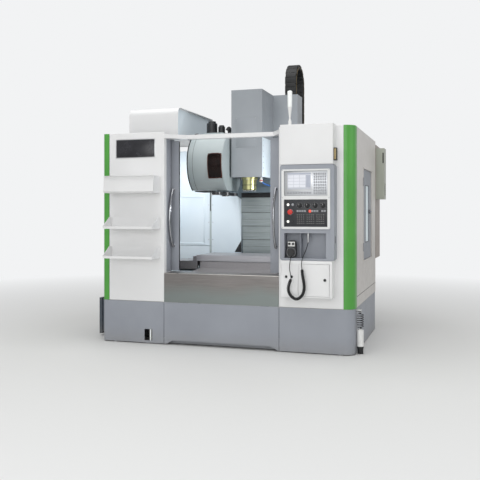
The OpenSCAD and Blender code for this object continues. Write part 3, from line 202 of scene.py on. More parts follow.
def moulded(name, light, dark, roughness, grain=0.0012, depth=0.00015, glow=0.0, clear=1.0, sheen=0.5):
    """Moulded plastic or rubber with a fine eroded grain."""
    material, tree, place, shader = start(name)
    cloud = add(tree, "ShaderNodeTexNoise", {"Vector": place}, {"Scale": 9, "Detail": 4, "Roughness": 0.6})
    colour = tone(tree, cloud.outputs["Fac"], dark, light, 0.35, 0.65)
    tree.links.new(colour, shader.inputs["Base Color"])
    tree.links.new(level(tree, cloud.outputs["Fac"], roughness - 0.05, roughness + 0.08, 0.35, 0.65),
                   shader.inputs["Roughness"])
    skin = add(tree, "ShaderNodeTexNoise", {"Vector": place}, {"Scale": 1 / grain, "Detail": 2})
    bump = add(tree, "ShaderNodeBump", {"Height": skin.outputs["Fac"]}, {"Strength": 0.4, "Distance": depth})
    tree.links.new(bump.outputs["Normal"], shader.inputs["Normal"])
    shader.inputs["Specular IOR Level"].default_value = sheen
    if glow:
        shader.inputs["Emission Color"].default_value = linear(light)
        shader.inputs["Emission Strength"].default_value = glow
    if clear < 1:
        shader.inputs["Alpha"].default_value = clear
    return material


CREAM = enamel("cream_enamel", "#E4E4E4", "#DDDDDD", 0.36)
# The side walls take a darker, greyer copy of the cream enamel: painted shade. Up to 1.5 m they grow darker
# and browner towards the bottom, in patches.
SHADED_WALL_CREAM = enamel("wall_enamel_painted_shade", "#D3CFCB", "#CBC7C3", 0.40, low_tone="#7B736C", low_tone_height=1.5)
GREEN = enamel("green_enamel", "#4E9E3E", "#47943A", 0.34)
GREY = enamel("grey_textured_enamel", "#969AA2", "#8D9199", 0.48, peel=0.0022, depth=0.0003, coat=0.05)
PALE_BLUE = enamel("pale_blue_enamel", "#DCE7EE", "#D2DFE8", 0.34)
HEAD_GREY = enamel("head_grey_enamel", "#959A9F", "#8C9196", 0.38)
DRUM = enamel("drum_enamel", "#B3BDBE", "#A8B2B3", 0.34)
COOLER = enamel("cooler_enamel", "#A9ADA1", "#9FA397", 0.42)
CABINET = enamel("cabinet_enamel", "#A1968F", "#988D86", 0.42)
DISPLAY = enamel("display_frame_enamel", "#DCDDDC", "#D3D4D3", 0.30)
CASTING = enamel("casting_enamel", "#707E86", "#64727B", 0.46, peel=0.012, depth=0.0006, coat=0.05)
SLATE = enamel("slate_coated_steel", "#474F58", "#3D454E", 0.42, peel=0.006)
STAINLESS = brushed("brushed_stainless_sheet", "#C9C6C0", "#ABA8A3", 0.24)
APRON = brushed("dull_stainless_apron", "#8C8886", "#75716F", 0.30, metal=0.75, stain=0.2, cloudy=0.3,
                foot="#838A88")
STAINLESS_UP = brushed("cover_plate_stainless", "#9EA6A7", "#7F8788", 0.34)
COVER_STEEL = brushed("oiled_way_cover_steel", "#9C9A9C", "#868486", 0.32, along="Y", metal=0.45, stain=0.3)
TABLE_STEEL = brushed("ground_table_iron", "#B6B6BA", "#9A9A9F", 0.34, metal=0.6)
STEEL = brushed("turned_steel", "#C0C1C2", "#9A9B9D", 0.26, along="Z")
HANDLE_STEEL = brushed("polished_handle_tube", "#B2B3B6", "#8B8C90", 0.13, along="Z", stain=0.2)
NOSE = brushed("passivated_nose_metal", "#B3B286", "#88875B", 0.24, along="Z", metal=0.9)
# Blackened steel for real dark parts, also drawn as painted shade in the way cover's creases and along the
# rear guard's seam.
DARK_STEEL_AND_SHADE = brushed("blackened_steel_and_painted_shade", "#3A3B3E", "#26272A", 0.36, metal=0.8)
CHAIN_BLACK = moulded("chain_nylon", "#131415", "#0D0E0F", 0.5)
BRASS = moulded("brass_coloured_chain_edge", "#7A6636", "#5E4C26", 0.4)
BLACK = moulded("black_abs", "#1E1F22", "#17181A", 0.45)
BLACK_RUBBER = moulded("black_rubber", "#202123", "#151617", 0.62, grain=0.002)
MOTOR = enamel("motor_black_enamel", "#26272A", "#1B1C1F", 0.40)
WHITE = moulded("white_abs", "#E4E4E2", "#DADAD8", 0.34)
RED = moulded("red_abs", "#C8261C", "#B31E16", 0.28)
BLUE_RUBBER = moulded("blue_hose_rubber", "#2C62A8", "#22508F", 0.42)
LENS = moulded("white_lamp_lens", "#EEF0EE", "#E2E5E3", 0.22, glow=0.12)
BROWN_PANE = moulded("smoked_brown_pane", "#1D0D09", "#0F0706", 0.16, grain=0.02, depth=0.00003, sheen=0.2)
RUST_SEAL = moulded("rust_brown_pane_seal", "#5C2A1B", "#451E13", 0.45)
GLASS = moulded("window_glass", "#CFE0E8", "#C6D8E2", 0.06, grain=0.05, depth=0.00002, clear=0.38)
# The side door's milky pane glows faintly though it is no lamp: painted light.
FROSTED_PAINTED_GLOW = moulded("frosted_side_pane_painted_glow", "#DFE9ED", "#D2DEE4", 0.35, glow=0.12, clear=0.9)
SILVER = brushed("satin_aluminium", "#C9CBCE", "#B2B5B9", 0.34, stain=0.2)
ALUMINIUM = brushed("plate_rim_aluminium", "#D2D3D4", "#BBBDBF", 0.30, stain=0.2)
PLATE_DARK = moulded("black_lacquered_plate", "#2B2B30", "#222226", 0.22, grain=0.004, depth=0.00004)
PANEL = moulded("operating_panel_film", "#282A2E", "#212327", 0.40)
KEY_DARK = moulded("dark_key_caps", "#17181B", "#101114", 0.36)
KEY_GREY = moulded("grey_key_caps", "#9FA1A5", "#929498", 0.36)
SCREEN = moulded("lit_screen", "#BFC2CA", "#B6B9C2", 0.12, grain=0.03, depth=0.00002, glow=0.12)
SCREEN_FIELD = moulded("lit_screen_fields", "#D6D8DF", "#CED0D8", 0.12, grain=0.03, depth=0.00002, glow=0.12)
SCREEN_BAR = moulded("lit_screen_bars", "#A4A9B6", "#9A9FAD", 0.12, grain=0.03, depth=0.00002, glow=0.1)
WHITE_LIT = moulded("lit_white_button", "#F4F4EE", "#ECECE6", 0.25, glow=0.6)
RED_LIT = moulded("lit_red_key", "#F0503C", "#E84632", 0.25, glow=0.8)
BRASS_TINT = moulded("tan_pull_inset", "#A8956A", "#94825A", 0.45)
LAMP_GLOW = moulded("work_lamp_cover", "#F6F8FA", "#EEF2F6", 0.3, glow=1.4)
DARK_GAP = moulded("dark_gap", "#121314", "#0C0D0E", 0.8)

SLOTS = (
    (CREAM, "left_tower right_tower front_beam magazine_hood tool_shelves console_housing cabinet_door"),
    (SHADED_WALL_CREAM, "left_wall right_wall"),
    (CABINET, "electrical_cabinet electrical_door"),
    (GREEN, "corner_posts"),
    (GREY, "front_skirts operator_console left_door right_door side_door"),
    (PALE_BLUE, "rear_guards"),
    (HEAD_GREY, "head_cover"),
    (DRUM, "magazine_cover"),
    (COOLER, "cooling_unit"),
    (DISPLAY, "display_unit"),
    (CASTING, "machine_bed column saddle spindle_head change_gearbox"),
    (SLATE, "coolant_tank"),
    (STAINLESS, "base_pan"),
    (APRON, "front_apron"),
    (COVER_STEEL, "x_covers y_cover"),
    (STAINLESS_UP, "z_cover_top z_cover_upper z_cover_middle z_cover_lower"),
    (TABLE_STEEL, "work_table"),
    (STEEL, "levelling_feet guide_rails spindle_rotor pendant_plug magazine_disc"),
    (NOSE, "spindle_nose"),
    (MOTOR, "change_arm arm_shaft servo_motors"),
    (BLACK, "control_panel hand_pendant pendant_wheel"),
    (CHAIN_BLACK, "cable_chain"),
    (BLACK_RUBBER, "pendant_lead pendant_coil air_hose"),
    (WHITE, "air_gun signal_lamp"),
    (RED, "emergency_stop"),
    (BLUE_RUBBER, "coolant_hose"),
    (GLASS, "left_window right_window"),
    (FROSTED_PAINTED_GLOW, "side_window"),
)
for material, names in SLOTS:
    for name in names.split():
        nodes[name].data.materials.clear()
        nodes[name].data.materials.append(material)


# ---- Places taken from the frame ---------------------------------------------

def limits(node):
    """A node's (low, high) pairs along x, y and z, in millimetres to a tenth."""
    return [(round(1000 * (low - zero), 1), round(1000 * (high - zero), 1))
            for low, high, zero in zip(*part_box(node), (SPINDLE_X, FRONT_Y, 0))]


def middle(pair):
    return (pair[0] + pair[1]) / 2


def inset(pair, by):
    """A (low, high) pair drawn in at both ends, or drawn out where `by` is negative."""
    return pair[0] + by, pair[1] - by


TOWER_X, TOWER_Y, TOWER_Z = limits("left_tower")
SHELF_X, SHELF_Y, SHELF_Z = limits("tool_shelves")
OPENING_X = TOWER_X[1], limits("right_tower")[0][0]
OPENING_Z = limits("front_apron")[2][1], limits("front_beam")[2][0]
CASE_X, CASE_Y, CASE_Z = limits("operator_console")
PANEL_X, _, PANEL_Z = limits("control_panel")
STOP_X, _, STOP_Z = limits("emergency_stop")
DIAL_X, _, DIAL_Z = limits("pendant_wheel")
LAMP_X, LAMP_Y, LAMP_Z = limits("signal_lamp")
GUN_X, GUN_Y, GUN_Z = limits("air_gun")
SPINDLE_Y = middle(limits("spindle_nose")[1])
HEAD_FRONT = limits("head_cover")[1][0]
GUARD_FRONT = limits("rear_guards")[1][0]
HOOD_Y, HOOD_Z = limits("magazine_hood")[1:]
DRUM_X = limits("magazine_cover")[0]
DRUM_Z = middle(limits("magazine_disc")[2])
DRUM_R = 330
CHAIN_X = limits("cable_chain")[0]
WALL_FACE = limits("right_wall")[0][1]
TANK_FACE = limits("coolant_tank")[0][0]


# ---- Making pieces -----------------------------------------------------------

def riding(name, data, material, body):
    """Makes an object of a mesh or curve, and lets it ride on a body."""
    piece = bpy.data.objects.new(name, data)
    bpy.context.scene.collection.objects.link(piece)
    data.materials.append(material)
    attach(piece, body)
    return piece


def mesh_piece(name, bm, material, body, sharp):
    """Turns a bmesh, in metres, into a smoothly shaded piece with sharp edges above an angle in degrees."""
    mesh = bpy.data.meshes.new(name)
    bm.to_mesh(mesh)
    bm.free()
    for polygon in mesh.polygons:
        polygon.use_smooth = True
    mesh.set_sharp_from_angle(angle=radians(sharp))
    return riding(name, mesh, material, body)


def finish_piece(name, bm, material, body="frame"):
    """Turns a bmesh, drawn in millimetres, into a piece."""
    bmesh.ops.recalc_face_normals(bm, faces=bm.faces)
    for v in bm.verts:
        v.co = at(*v.co)
    return mesh_piece(name, bm, material, body, 40)


def block(bm, x, y, z, soft=1.0, steps=2):
    """Adds a box with softened edges."""
    made = bmesh.ops.create_cube(bm, size=1)["verts"]
    for v in made:
        v.co = Vector([(a[0] + a[1]) / 2 + c * (a[1] - a[0]) for a, c in zip((x, y, z), v.co)])
    if soft:
        edges = list(dict.fromkeys(e for v in made for e in v.link_edges))
        bmesh.ops.bevel(bm, geom=edges, offset=soft, segments=steps, profile=0.5, affect="EDGES", material=-1,
                        clamp_overlap=True)


def plate(name, x, y, z, material, body="frame", soft=1.0, steps=2):
    bm = bmesh.new()
    block(bm, x, y, z, soft, steps)
    return finish_piece(name, bm, material, body)


TURN = {"x": Matrix.Rotation(pi / 2, 4, "Y"), "y": Matrix.Rotation(pi / 2, 4, "X"), "z": Matrix.Identity(4)}


def turned(bm, place, axis, outline, steps=24):
    """Spins an outline of (radius, height) points; along x heights run to +X, along y to -Y, along z up."""
    verts = [bm.verts.new((r, 0, h)) for r, h in outline]
    edges = [bm.edges.new(pair) for pair in zip(verts, verts[1:])]
    bmesh.ops.spin(bm, geom=verts + edges, cent=(0, 0, 0), axis=(0, 0, 1), angle=2 * pi, steps=steps,
                   use_merge=True, use_duplicate=False)
    reach = dict.fromkeys(v for e in edges for v in e.verts)
    todo = list(reach)
    while todo:
        for e in todo.pop().link_edges:
            for v in e.verts:
                if v not in reach:
                    reach[v] = True
                    todo.append(v)
    reach = [v for v in reach if v.is_valid]
    bmesh.ops.remove_doubles(bm, verts=reach, dist=0.001)
    reach = [v for v in reach if v.is_valid]
    bmesh.ops.transform(bm, matrix=Matrix.Translation(place) @ TURN[axis], verts=reach)


def round_piece(name, place, axis, outline, material, body="frame", steps=24):
    bm = bmesh.new()
    turned(bm, place, axis, outline, steps)
    return finish_piece(name, bm, material, body)


def screws(name, places, axis, body="frame", r=4.5):
    """Button-head screws with a socket, all in one piece."""
    head, socket = 2.6, 0.4 * 2.6
    outline = [(0, socket), (r * 0.42, socket), (r * 0.46, head), (r * 0.75, 0.85 * head), (r, 0.2 * head),
               (r, -0.3)]
    bm = bmesh.new()
    for place in places:
        turned(bm, place, axis, outline, 10)
    return finish_piece(name, bm, STEEL, body)


def tube(name, points, r, material, body="frame", kind="NURBS", rings=3):
    """A round tube along points: smooth as NURBS, or straight from point to point as POLY."""
    curve = bpy.data.curves.new(name, "CURVE")
    curve.dimensions = "3D"
    curve.bevel_depth = r / 1000
    curve.bevel_resolution = rings
    curve.use_fill_caps = True
    curve.resolution_u = 6
    spline = curve.splines.new(kind)
    spline.points.add(len(points) - 1)
    for p, q in zip(spline.points, points):
        p.co = (*at(*q), 1)
    if kind == "NURBS":
        spline.use_endpoint_u = True
        spline.order_u = 4
    return riding(name, curve, material, body)


# ---- Cords -------------------------------------------------------------------

def smooth_route(points, steps):
    """The same rounded line as the solid follows, as steps points from each given point to the next."""
    points = [Vector(q) for q in points]
    line = []
    for i in range(len(points) - 1):
        a, b, c, d = (points[max(0, min(j, len(points) - 1))] for j in (i - 1, i, i + 1, i + 2))
        for k in range(steps):
            f = k / steps
            line.append(0.5 * (2 * b + (c - a) * f + (2 * a - 5 * b + 4 * c - d) * f * f
                               + (3 * b - a - 3 * c + d) * f ** 3))
    return line + [points[-1]]


def coiled(line, radius, pitch, turns_in=1.5, per_turn=14):
    """Winds a helix around a line; its radius grows from nothing over the first and last turns."""
    side = Vector((0, 1, 0))
    lengths = [0.0]
    for a, b in zip(line, line[1:]):
        lengths.append(lengths[-1] + (b - a).length)
    total = lengths[-1]
    count = int(total / pitch * per_turn)
    wound, i = [], 0
    for k in range(count + 1):
        s = total * k / count
        while i < len(line) - 2 and lengths[i + 1] < s:
            i += 1
        f = (s - lengths[i]) / (lengths[i + 1] - lengths[i])
        spot = line[i].lerp(line[i + 1], f)
        ahead = (line[i + 1] - line[i]).normalized()
        n = (side - side.dot(ahead) * ahead).normalized()
        grow = min(1, s / pitch / turns_in, (total - s) / pitch / turns_in)
        grow = grow * grow * (3 - 2 * grow)
        a = 2 * pi * s / pitch
        wound.append(spot + radius * grow * (cos(a) * n + sin(a) * ahead.cross(n)))
    return wound


def from_case(*route):
    """A route measured from the console case's lower left front corner."""
    corner = Vector((CASE_X[0], CASE_Y[0], CASE_Z[0]))
    return [corner + Vector(q) for q in route]


handset_lead = from_case((103, -6, 32), (103, -18, 26), (101, -32, -10), (98, -38, -70), (108, -38, -125),
                         (112, -38, -160))
curly_part = from_case((112, -38, -160), (92, -38, -215), (88, -38, -265), (112, -38, -312),
                       (160, -38, -338), (208, -38, -308), (228, -38, -255), (228, -38, -200),
                       (216, -38, -130), (210, -38, -72))
plug_part = from_case((210, -38, -72), (206, -36, -20), (214, -20, 30), (232, 20, 90), (250, 40, 160))
pendant_line = smooth_route(handset_lead, 5)[:-1] + coiled(smooth_route(curly_part, 8), 10.5, 7.4)
pendant_line += smooth_route(plug_part, 5)[1:]
pendant_cord = tube("pendant_cord", pendant_line, 3.5, BLACK_RUBBER, kind="POLY", rings=2)
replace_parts(pendant_cord, "pendant_lead", "pendant_coil")

AIR_X, AIR_Y = middle(GUN_X), middle(GUN_Y)
hose_top, hose_end = Vector((AIR_X, AIR_Y, 376)), Vector((AIR_X, AIR_Y, GUN_Z[1] - 2))
air_line = coiled([hose_top.lerp(hose_end, k / 40) for k in range(41)], 27.5, 20, turns_in=1.1, per_turn=20)
air_hose = tube("air_hose_coil", air_line, 3.25, BLACK_RUBBER, kind="POLY", rings=2)
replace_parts(air_hose, "air_hose")


# ---- Sheet metal with rounded edges ------------------------------------------

def softened(name, node, r, keep, material):
    """Stands for a sheet-metal node: the same shape, with the outer edges that `keep` picks rounded."""
    bm = bmesh.new()
    bm.from_mesh(nodes[node].data)
    bmesh.ops.remove_doubles(bm, verts=bm.verts, dist=0.00002)
    bmesh.ops.dissolve_limit(bm, angle_limit=radians(0.5), verts=bm.verts, edges=bm.edges)
    low, high = (Vector(c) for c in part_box(node))
    picked = [e for e in bm.edges if len(e.link_faces) == 2 and e.calc_face_angle(0) > 0.5
              and keep([v.co for v in e.verts], low, high)]
    bmesh.ops.bevel(bm, geom=picked, offset=r / 1000, segments=4, profile=0.5, affect="EDGES", material=-1,
                    clamp_overlap=False)
    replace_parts(mesh_piece(name, bm, material, "frame", 30), node)


def near(a, b):
    return abs(a - b) < 0.0002


def on_front(ends, low):
    return all(near(p.y, low.y) for p in ends)


def front_rim(ends, low, high):
    """Edges on the front plane that also lie on a side, the top or the bottom."""
    return on_front(ends, low) and any(
        all(near(p[i], e[i]) for p in ends) for i in (0, 2) for e in (low, high))


def front_outline(ends, low, high):
    """Edges on the front plane that run along the node's outline, round corners included."""
    return on_front(ends, low) and all(
        min(p.x - low.x, high.x - p.x, p.z - low.z, high.z - p.z) < 0.0225 for p in ends)


def long_front(ends, low, high):
    """Long edges on the front plane."""
    return on_front(ends, low) and (ends[0] - ends[1]).length > 0.28


softened("left_tower_sheet", "left_tower", 6, front_rim, CREAM)
softened("right_tower_sheet", "right_tower", 6, front_rim, CREAM)
softened("console_case", "operator_console", 4, front_outline, GREY)
softened("console_boxes", "console_housing", 5, long_front, CREAM)

# ---- Left tower --------------------------------------------------------------

sign_x, sign_z = (TOWER_X[0] + 75, TOWER_X[1] - 93), (TOWER_Z[1] - 245, TOWER_Z[1] - 60)
plate("name_plate_rim", sign_x, (-3, 0), sign_z, ALUMINIUM, soft=1.2)
plate("name_plate_face", inset(sign_x, 7), (-4.5, -2.5), inset(sign_z, 7), PLATE_DARK, soft=0.8)
screws("name_plate_screws", [(x, -3, z) for x in inset(sign_x, 12) for z in inset(sign_z, 12)], "y", r=3.5)
plate("tool_box_lid", inset(SHELF_X, 3), (SHELF_Y[0] + 4, -20), (SHELF_Z[1], SHELF_Z[1] + 4), CREAM, soft=1.2)
plate("left_jamb_trim", (OPENING_X[0] - 2, OPENING_X[0] + 2), (55, TOWER_Y[1] - 2),
      (OPENING_Z[0] + 4, OPENING_Z[1] - 2), GREY, soft=1.2)
plate("apron_lip", inset(OPENING_X, 1), (-1.2, 3), (OPENING_Z[0] - 6, OPENING_Z[0] + 0.6), STAINLESS,
      soft=1.2)
# The gauge tube takes the lamp lens's material, whose faint glow lights it though it is no lamp: painted
# light.
round_piece("coolant_gauge_tube", (-752, 12, 0), "z", [(0, 30), (8, 30), (8, 140), (0, 140)], LENS)

# ---- Sliding front doors -----------------------------------------------------

LEAF_FRONT, LEAF_REAR, LEAF_TOP = 188, 213, 1975


def bow_handle(name, x, body):
    """A bent tube of constant radius with a foot at either end."""
    bend_r, half_turn, foot_reach, middle_z, front_y = 530, 0.5565, 274, 1220, 86
    turn = [i / 20 * half_turn for i in range(-20, 21)]
    points = [(x, front_y + bend_r - bend_r * cos(a), middle_z + bend_r * sin(a)) for a in turn]
    tube(name, points, 12, HANDLE_STEEL, body)
    foot = [(0, 27), (9.5, 27), (12.2, 24), (12.2, 6), (16, 3), (16, 0)]
    bm = bmesh.new()
    for s in (-1, 1):
        turned(bm, (x, LEAF_FRONT - 2, middle_z + s * foot_reach), "y", foot, 20)
    finish_piece(name + "_feet", bm, HANDLE_STEEL, body)


def gasket(name, x, y, z, body):
    """A rubber seal around a pane: a rounded rectangle with its middle cut away, given a thickness."""
    width, thickness, corner_r = 16, 4, 38
    bm = bmesh.new()
    bmesh.ops.create_grid(bm, x_segments=1, y_segments=1, size=1)
    for v in bm.verts:
        v.co = Vector((middle(x) + v.co.x * ((x[1] - x[0]) / 2 + width / 2), y,
                       middle(z) + v.co.y * ((z[1] - z[0]) / 2 + width / 2)))
    bmesh.ops.bevel(bm, geom=bm.verts[:], offset=corner_r + width / 2, segments=6, profile=0.5,
                    affect="VERTICES", material=-1)
    bmesh.ops.inset_individual(bm, faces=bm.faces[:], thickness=width, depth=0)
    bmesh.ops.delete(bm, geom=[f for f in bm.faces if len(f.verts) > 4], context="FACES")
    bmesh.ops.recalc_face_normals(bm, faces=bm.faces)
    bmesh.ops.solidify(bm, geom=bm.faces[:], thickness=thickness)
    finish_piece(name, bm, BLACK_RUBBER, body)


for side, out in (("left", -1), ("right", 1)):
    body = side + "_leaf"
    leaf_x, _, leaf_z = limits(side + "_door")
    pane_x, _, pane_z = limits(side + "_window")
    edge = leaf_x[0] if out > 0 else leaf_x[1]
    bow_handle(side + "_door_handle", edge + 56 * out, body)
    gasket(side + "_window_seal_front", inset(pane_x, 7), LEAF_FRONT - 1, inset(pane_z, 7), body)
    gasket(side + "_window_seal_rear", inset(pane_x, 7), LEAF_REAR + 3, inset(pane_z, 7), body)
    plate(side + "_door_lip", sorted((edge - 1.2 * out, edge + 4 * out)), (LEAF_FRONT, LEAF_REAR),
          (leaf_z[0] + 2, LEAF_TOP), BLACK_RUBBER, body, soft=2)

# ---- Operator console --------------------------------------------------------

SCREEN_X, SCREEN_Z = (650, 862), (1476, 1624)
LIT_Y, KEY_Y = (-132.2, -131.6), (-132.5, -128)
plate("screen_bezel", (622, 1008), (-129, -119), (1422, 1638), SILVER, soft=1.5)
plate("screen_border", inset(SCREEN_X, -10), (-131, -128), (SCREEN_Z[0] - 10, SCREEN_Z[1] + 8), ALUMINIUM,
      soft=1.2)
plate("screen_glass", SCREEN_X, (-131.8, -130.6), SCREEN_Z, SCREEN, soft=0.3)
fields = bmesh.new()
for i in range(3):
    for k in range(4):
        x, z = SCREEN_X[0] + 5 + i * 54, SCREEN_Z[0] + 18 + k * 28
        block(fields, (x, x + 50), LIT_Y, (z, z + 24), 0.1, 1)
finish_piece("screen_fields", fields, SCREEN_FIELD)
bars = bmesh.new()
block(bars, SCREEN_X, LIT_Y, (SCREEN_Z[1] - 13, SCREEN_Z[1]), 0.1, 1)
block(bars, (820, 858), LIT_Y, (1494, 1602), 0.1, 1)
finish_piece("screen_bars", bars, SCREEN_BAR)
screen_keys = bmesh.new()
for i in range(6):
    for k in range(8):
        x, z = 886 + i * 19.6, 1432 + k * 24.4
        block(screen_keys, (x, x + 15), KEY_Y, (z, z + 18), 1.6, 2)
for i in range(9):
    block(screen_keys, (646 + i * 25, 666 + i * 25), KEY_Y, (1438, 1454), 1.6, 2)
finish_piece("screen_keys", screen_keys, KEY_GREY)

PANEL_FACE = -140.0
CAP_Y, MARK_Y = (PANEL_FACE - 4, PANEL_FACE + 1), (PANEL_FACE - 4.4, PANEL_FACE - 3.8)
panel = plate("operating_panel", inset(PANEL_X, 0.2), (PANEL_FACE, -92), inset(PANEL_Z, 0.2), PANEL, soft=1.5)
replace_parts(panel, "control_panel")
dark_keys, pale_keys, key_marks = bmesh.new(), bmesh.new(), bmesh.new()
for b in range(3):
    for c in range(4):
        for r in range(5):
            x, z = 736 + b * 88 + c * 19, 1167 + r * 19
            block(dark_keys, (x, x + 15.5), CAP_Y, (z, z + 15.5), 1.6, 2)
            block(key_marks, (x + 4, x + 11.5), MARK_Y, (z + 6.5, z + 9), 0.1, 1)
for i in range(12):
    x = 736 + i * 22
    keys = dark_keys if i % 5 > 3 else pale_keys
    block(keys, (x, x + 18), CAP_Y, (1276, 1293), 1.8, 2)
finish_piece("panel_keys", dark_keys, KEY_DARK)
finish_piece("panel_pale_keys", pale_keys, KEY_GREY)
finish_piece("panel_key_marks", key_marks, WHITE)
plate("panel_lit_key", (846, 866), (PANEL_FACE - 5, PANEL_FACE), (1272, 1295), RED_LIT, soft=1.8)

# Four rotary knobs, each with a pointer and eleven dots around it.
KNOB_Z, DOT_RING, DOT_HALF = 1333, 26, 0.8
knob = [(0, 27), (11.5, 27), (14, 24.5), (15, 8), (21, 6), (22, 0)]
knobs, pointers = bmesh.new(), bmesh.new()
for i in range(4):
    x = 762 + i * 70
    turned(knobs, (x, PANEL_FACE, KNOB_Z), "y", knob, 28)
    block(knobs, (x - 3.5, x + 3.5), (PANEL_FACE - 30, PANEL_FACE - 7), (KNOB_Z - 17, KNOB_Z + 17), 2, 2)
    block(pointers, (x - 0.9, x + 0.9), (PANEL_FACE - 30.6, PANEL_FACE - 29.5), (KNOB_Z + 3, KNOB_Z + 16),
          0.2, 1)
    for k in range(11):
        a = radians(-135 + k * 27)
        dot_x, dot_z = x + DOT_RING * sin(a), KNOB_Z + DOT_RING * cos(a)
        block(pointers, (dot_x - DOT_HALF, dot_x + DOT_HALF), (PANEL_FACE - 0.6, PANEL_FACE + 0.2),
              (dot_z - DOT_HALF, dot_z + DOT_HALF), 0.1, 1)
finish_piece("panel_knobs", knobs, BLACK)
finish_piece("panel_knob_marks", pointers, WHITE)
button = [(0, 8.5), (7.5, 8.5), (9, 7), (9, 3), (11, 2.5), (11.5, 0)]
for name, x, z, material in (("start_button", 658, 1191, WHITE_LIT), ("cycle_button", 658, 1341, WHITE_LIT),
                             ("hold_button", 700, 1191, BLACK), ("power_button", 700, 1341, KEY_GREY)):
    round_piece(name, (x, PANEL_FACE, z), "y", button, material)
round_piece("stop_button_ring", (middle(STOP_X), PANEL_FACE, middle(STOP_Z)), "y",
            [(23, 0), (23, 1.2), (25, 1.2), (26, 0)], KEY_GREY, steps=32)
screws("console_frame_screws", [(x, -138, z) for x in (606, 1025) for z in (1135, 1403, 1647)], "y", r=4)

plate("niche_divider", (764, 767), (CASE_Y[0] + 2, -32), (867, 1088), GREY, soft=0.8)
plate("upper_box_grip", (1057, 1084), (-100, -50), (1730, 1842), BLACK, soft=3)
plate("upper_box_grip_inset", (1062, 1080), (-101.5, -99), (1738, 1834), BRASS_TINT, soft=0.7)
plate("console_side_slot", (CASE_X[1] - 1, CASE_X[1] + 2), (-92, -78), (1000, 1062), BLACK, soft=1.2)
round_piece("cabinet_lock", (988, -140, 678.5), "y", [(0, 3), (9, 3), (13, 1.5), (13, 0)], BLACK)
plate("cabinet_lock_tab", (985.5, 990.5), (-149, -142), (668, 689), BLACK, soft=1.5)
sockets = bmesh.new()
for x in (638, 688):
    turned(sockets, (x, -124, 700), "y", [(0, 3), (8, 3), (8, 6), (11.5, 7), (13.5, 4.5), (13.5, 0)], 20)
finish_piece("console_sockets", sockets, BLACK)

# ---- Hand pendant ------------------------------------------------------------

round_piece("pendant_dial", (middle(DIAL_X), -110, middle(DIAL_Z)), "y",
            [(39.5, 0.2), (39.5, 1.2), (41.2, 1.2), (42, 0)], KEY_GREY, steps=36)
plate("pendant_switch_plate", (649, 713), (-112.5, -109.5), (969, 1011), WHITE, soft=1.4)
switches = bmesh.new()
for x in (664, 698):
    turned(switches, (x, -112, 992), "y", [(0, 14), (8.5, 14), (10.5, 12), (11, 1), (11, 0)], 20)
finish_piece("pendant_switches", switches, BLACK)

# ---- Signal lamp -------------------------------------------------------------

lamp_place = (middle(LAMP_X), middle(LAMP_Y), 0)
LAMP_FOOT, LAMP_TOP = LAMP_Z
lamp = round_piece("signal_lamp_lens", lamp_place, "z", [
    (0, LAMP_TOP), (14, LAMP_TOP), (19.5, LAMP_TOP - 2.5), (22, LAMP_TOP - 9), (21.8, LAMP_TOP - 14),
    (20.4, LAMP_TOP - 144), (20, LAMP_TOP - 151), (0, LAMP_TOP - 152)], LENS, steps=36)
round_piece("signal_lamp_pole", lamp_place, "z", [
    (19, LAMP_TOP - 150), (18.8, LAMP_TOP - 154), (7.4, LAMP_FOOT + 100), (7, LAMP_FOOT + 93),
    (8.5, LAMP_FOOT + 84), (14, LAMP_FOOT + 70), (15, LAMP_FOOT + 64), (15, LAMP_FOOT)], WHITE, steps=36)
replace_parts(lamp, "signal_lamp")

# ---- Spindle head ------------------------------------------------------------

hatch_x, hatch_z, hatch_face = (-117, 106), (1949, 2258), HEAD_FRONT - 1.6
plate("head_hatch", hatch_x, (hatch_face, HEAD_FRONT + 0.6), hatch_z, HEAD_GREY, "head", soft=0.8)
screws("head_hatch_screws", [(x, hatch_face, z) for x in inset(hatch_x, 8) for z in inset(hatch_z, 8)], "y",
       "head", r=4)
screws("head_cover_screws", [(x, HEAD_FRONT, z) for x in (-150, 150) for z in (1660, 2010, 2530)], "y",
       "head", r=4)
# A plate with screws on the head's right side; its pale blue stands for the work lamp's light falling on the
# head's grey: painted light.
plate("head_side_panel_painted_lamp_light", (166.5, 169.5), (742, 1170), (1644, 2050), PALE_BLUE, "head", soft=0.8)
screws("head_side_screws", [(169.5, 778, z) for z in range(1676, 2040, 58)], "x", "head", r=5)
plate("head_wiper", (-256, 256), (1361, 1365), (1442, 1496), BLACK_RUBBER, "head", soft=1.2)
bolt, nozzle = [(0, 8), (4, 8), (6, 7), (6, 0)], [(0, 0), (4, 0), (8, 3), (10, 8), (10, 12)]
nose_parts = bmesh.new()
for k in range(6):
    a = radians(30 + 60 * k)
    turned(nose_parts, (82 * cos(a), SPINDLE_Y + 82 * sin(a), 1612), "z", bolt, 6)
    turned(nose_parts, (66 * cos(a + 0.5), SPINDLE_Y + 66 * sin(a + 0.5), 1494), "z", nozzle, 16)
finish_piece("nose_bolts_and_nozzles", nose_parts, STEEL, "head")
round_piece("nose_band", (0, SPINDLE_Y, 1560), "z", [(75, -3), (76.5, -2), (76.5, 2), (75, 3)], DARK_STEEL_AND_SHADE,
            "head", steps=40)
hose_start = (118, 870, 1596)
round_piece("hose_fitting", hose_start, "z",
            [(8.5, -6), (15, -4), (18, 6), (18, 20), (14, 30), (14, 46), (0, 46)], WHITE, "head")
round_piece("hose_fitting_band", hose_start, "z", [(18, 8), (18.8, 9), (18.8, 16), (18, 17)], RED, "head")

# ---- Column's way cover ------------------------------------------------------

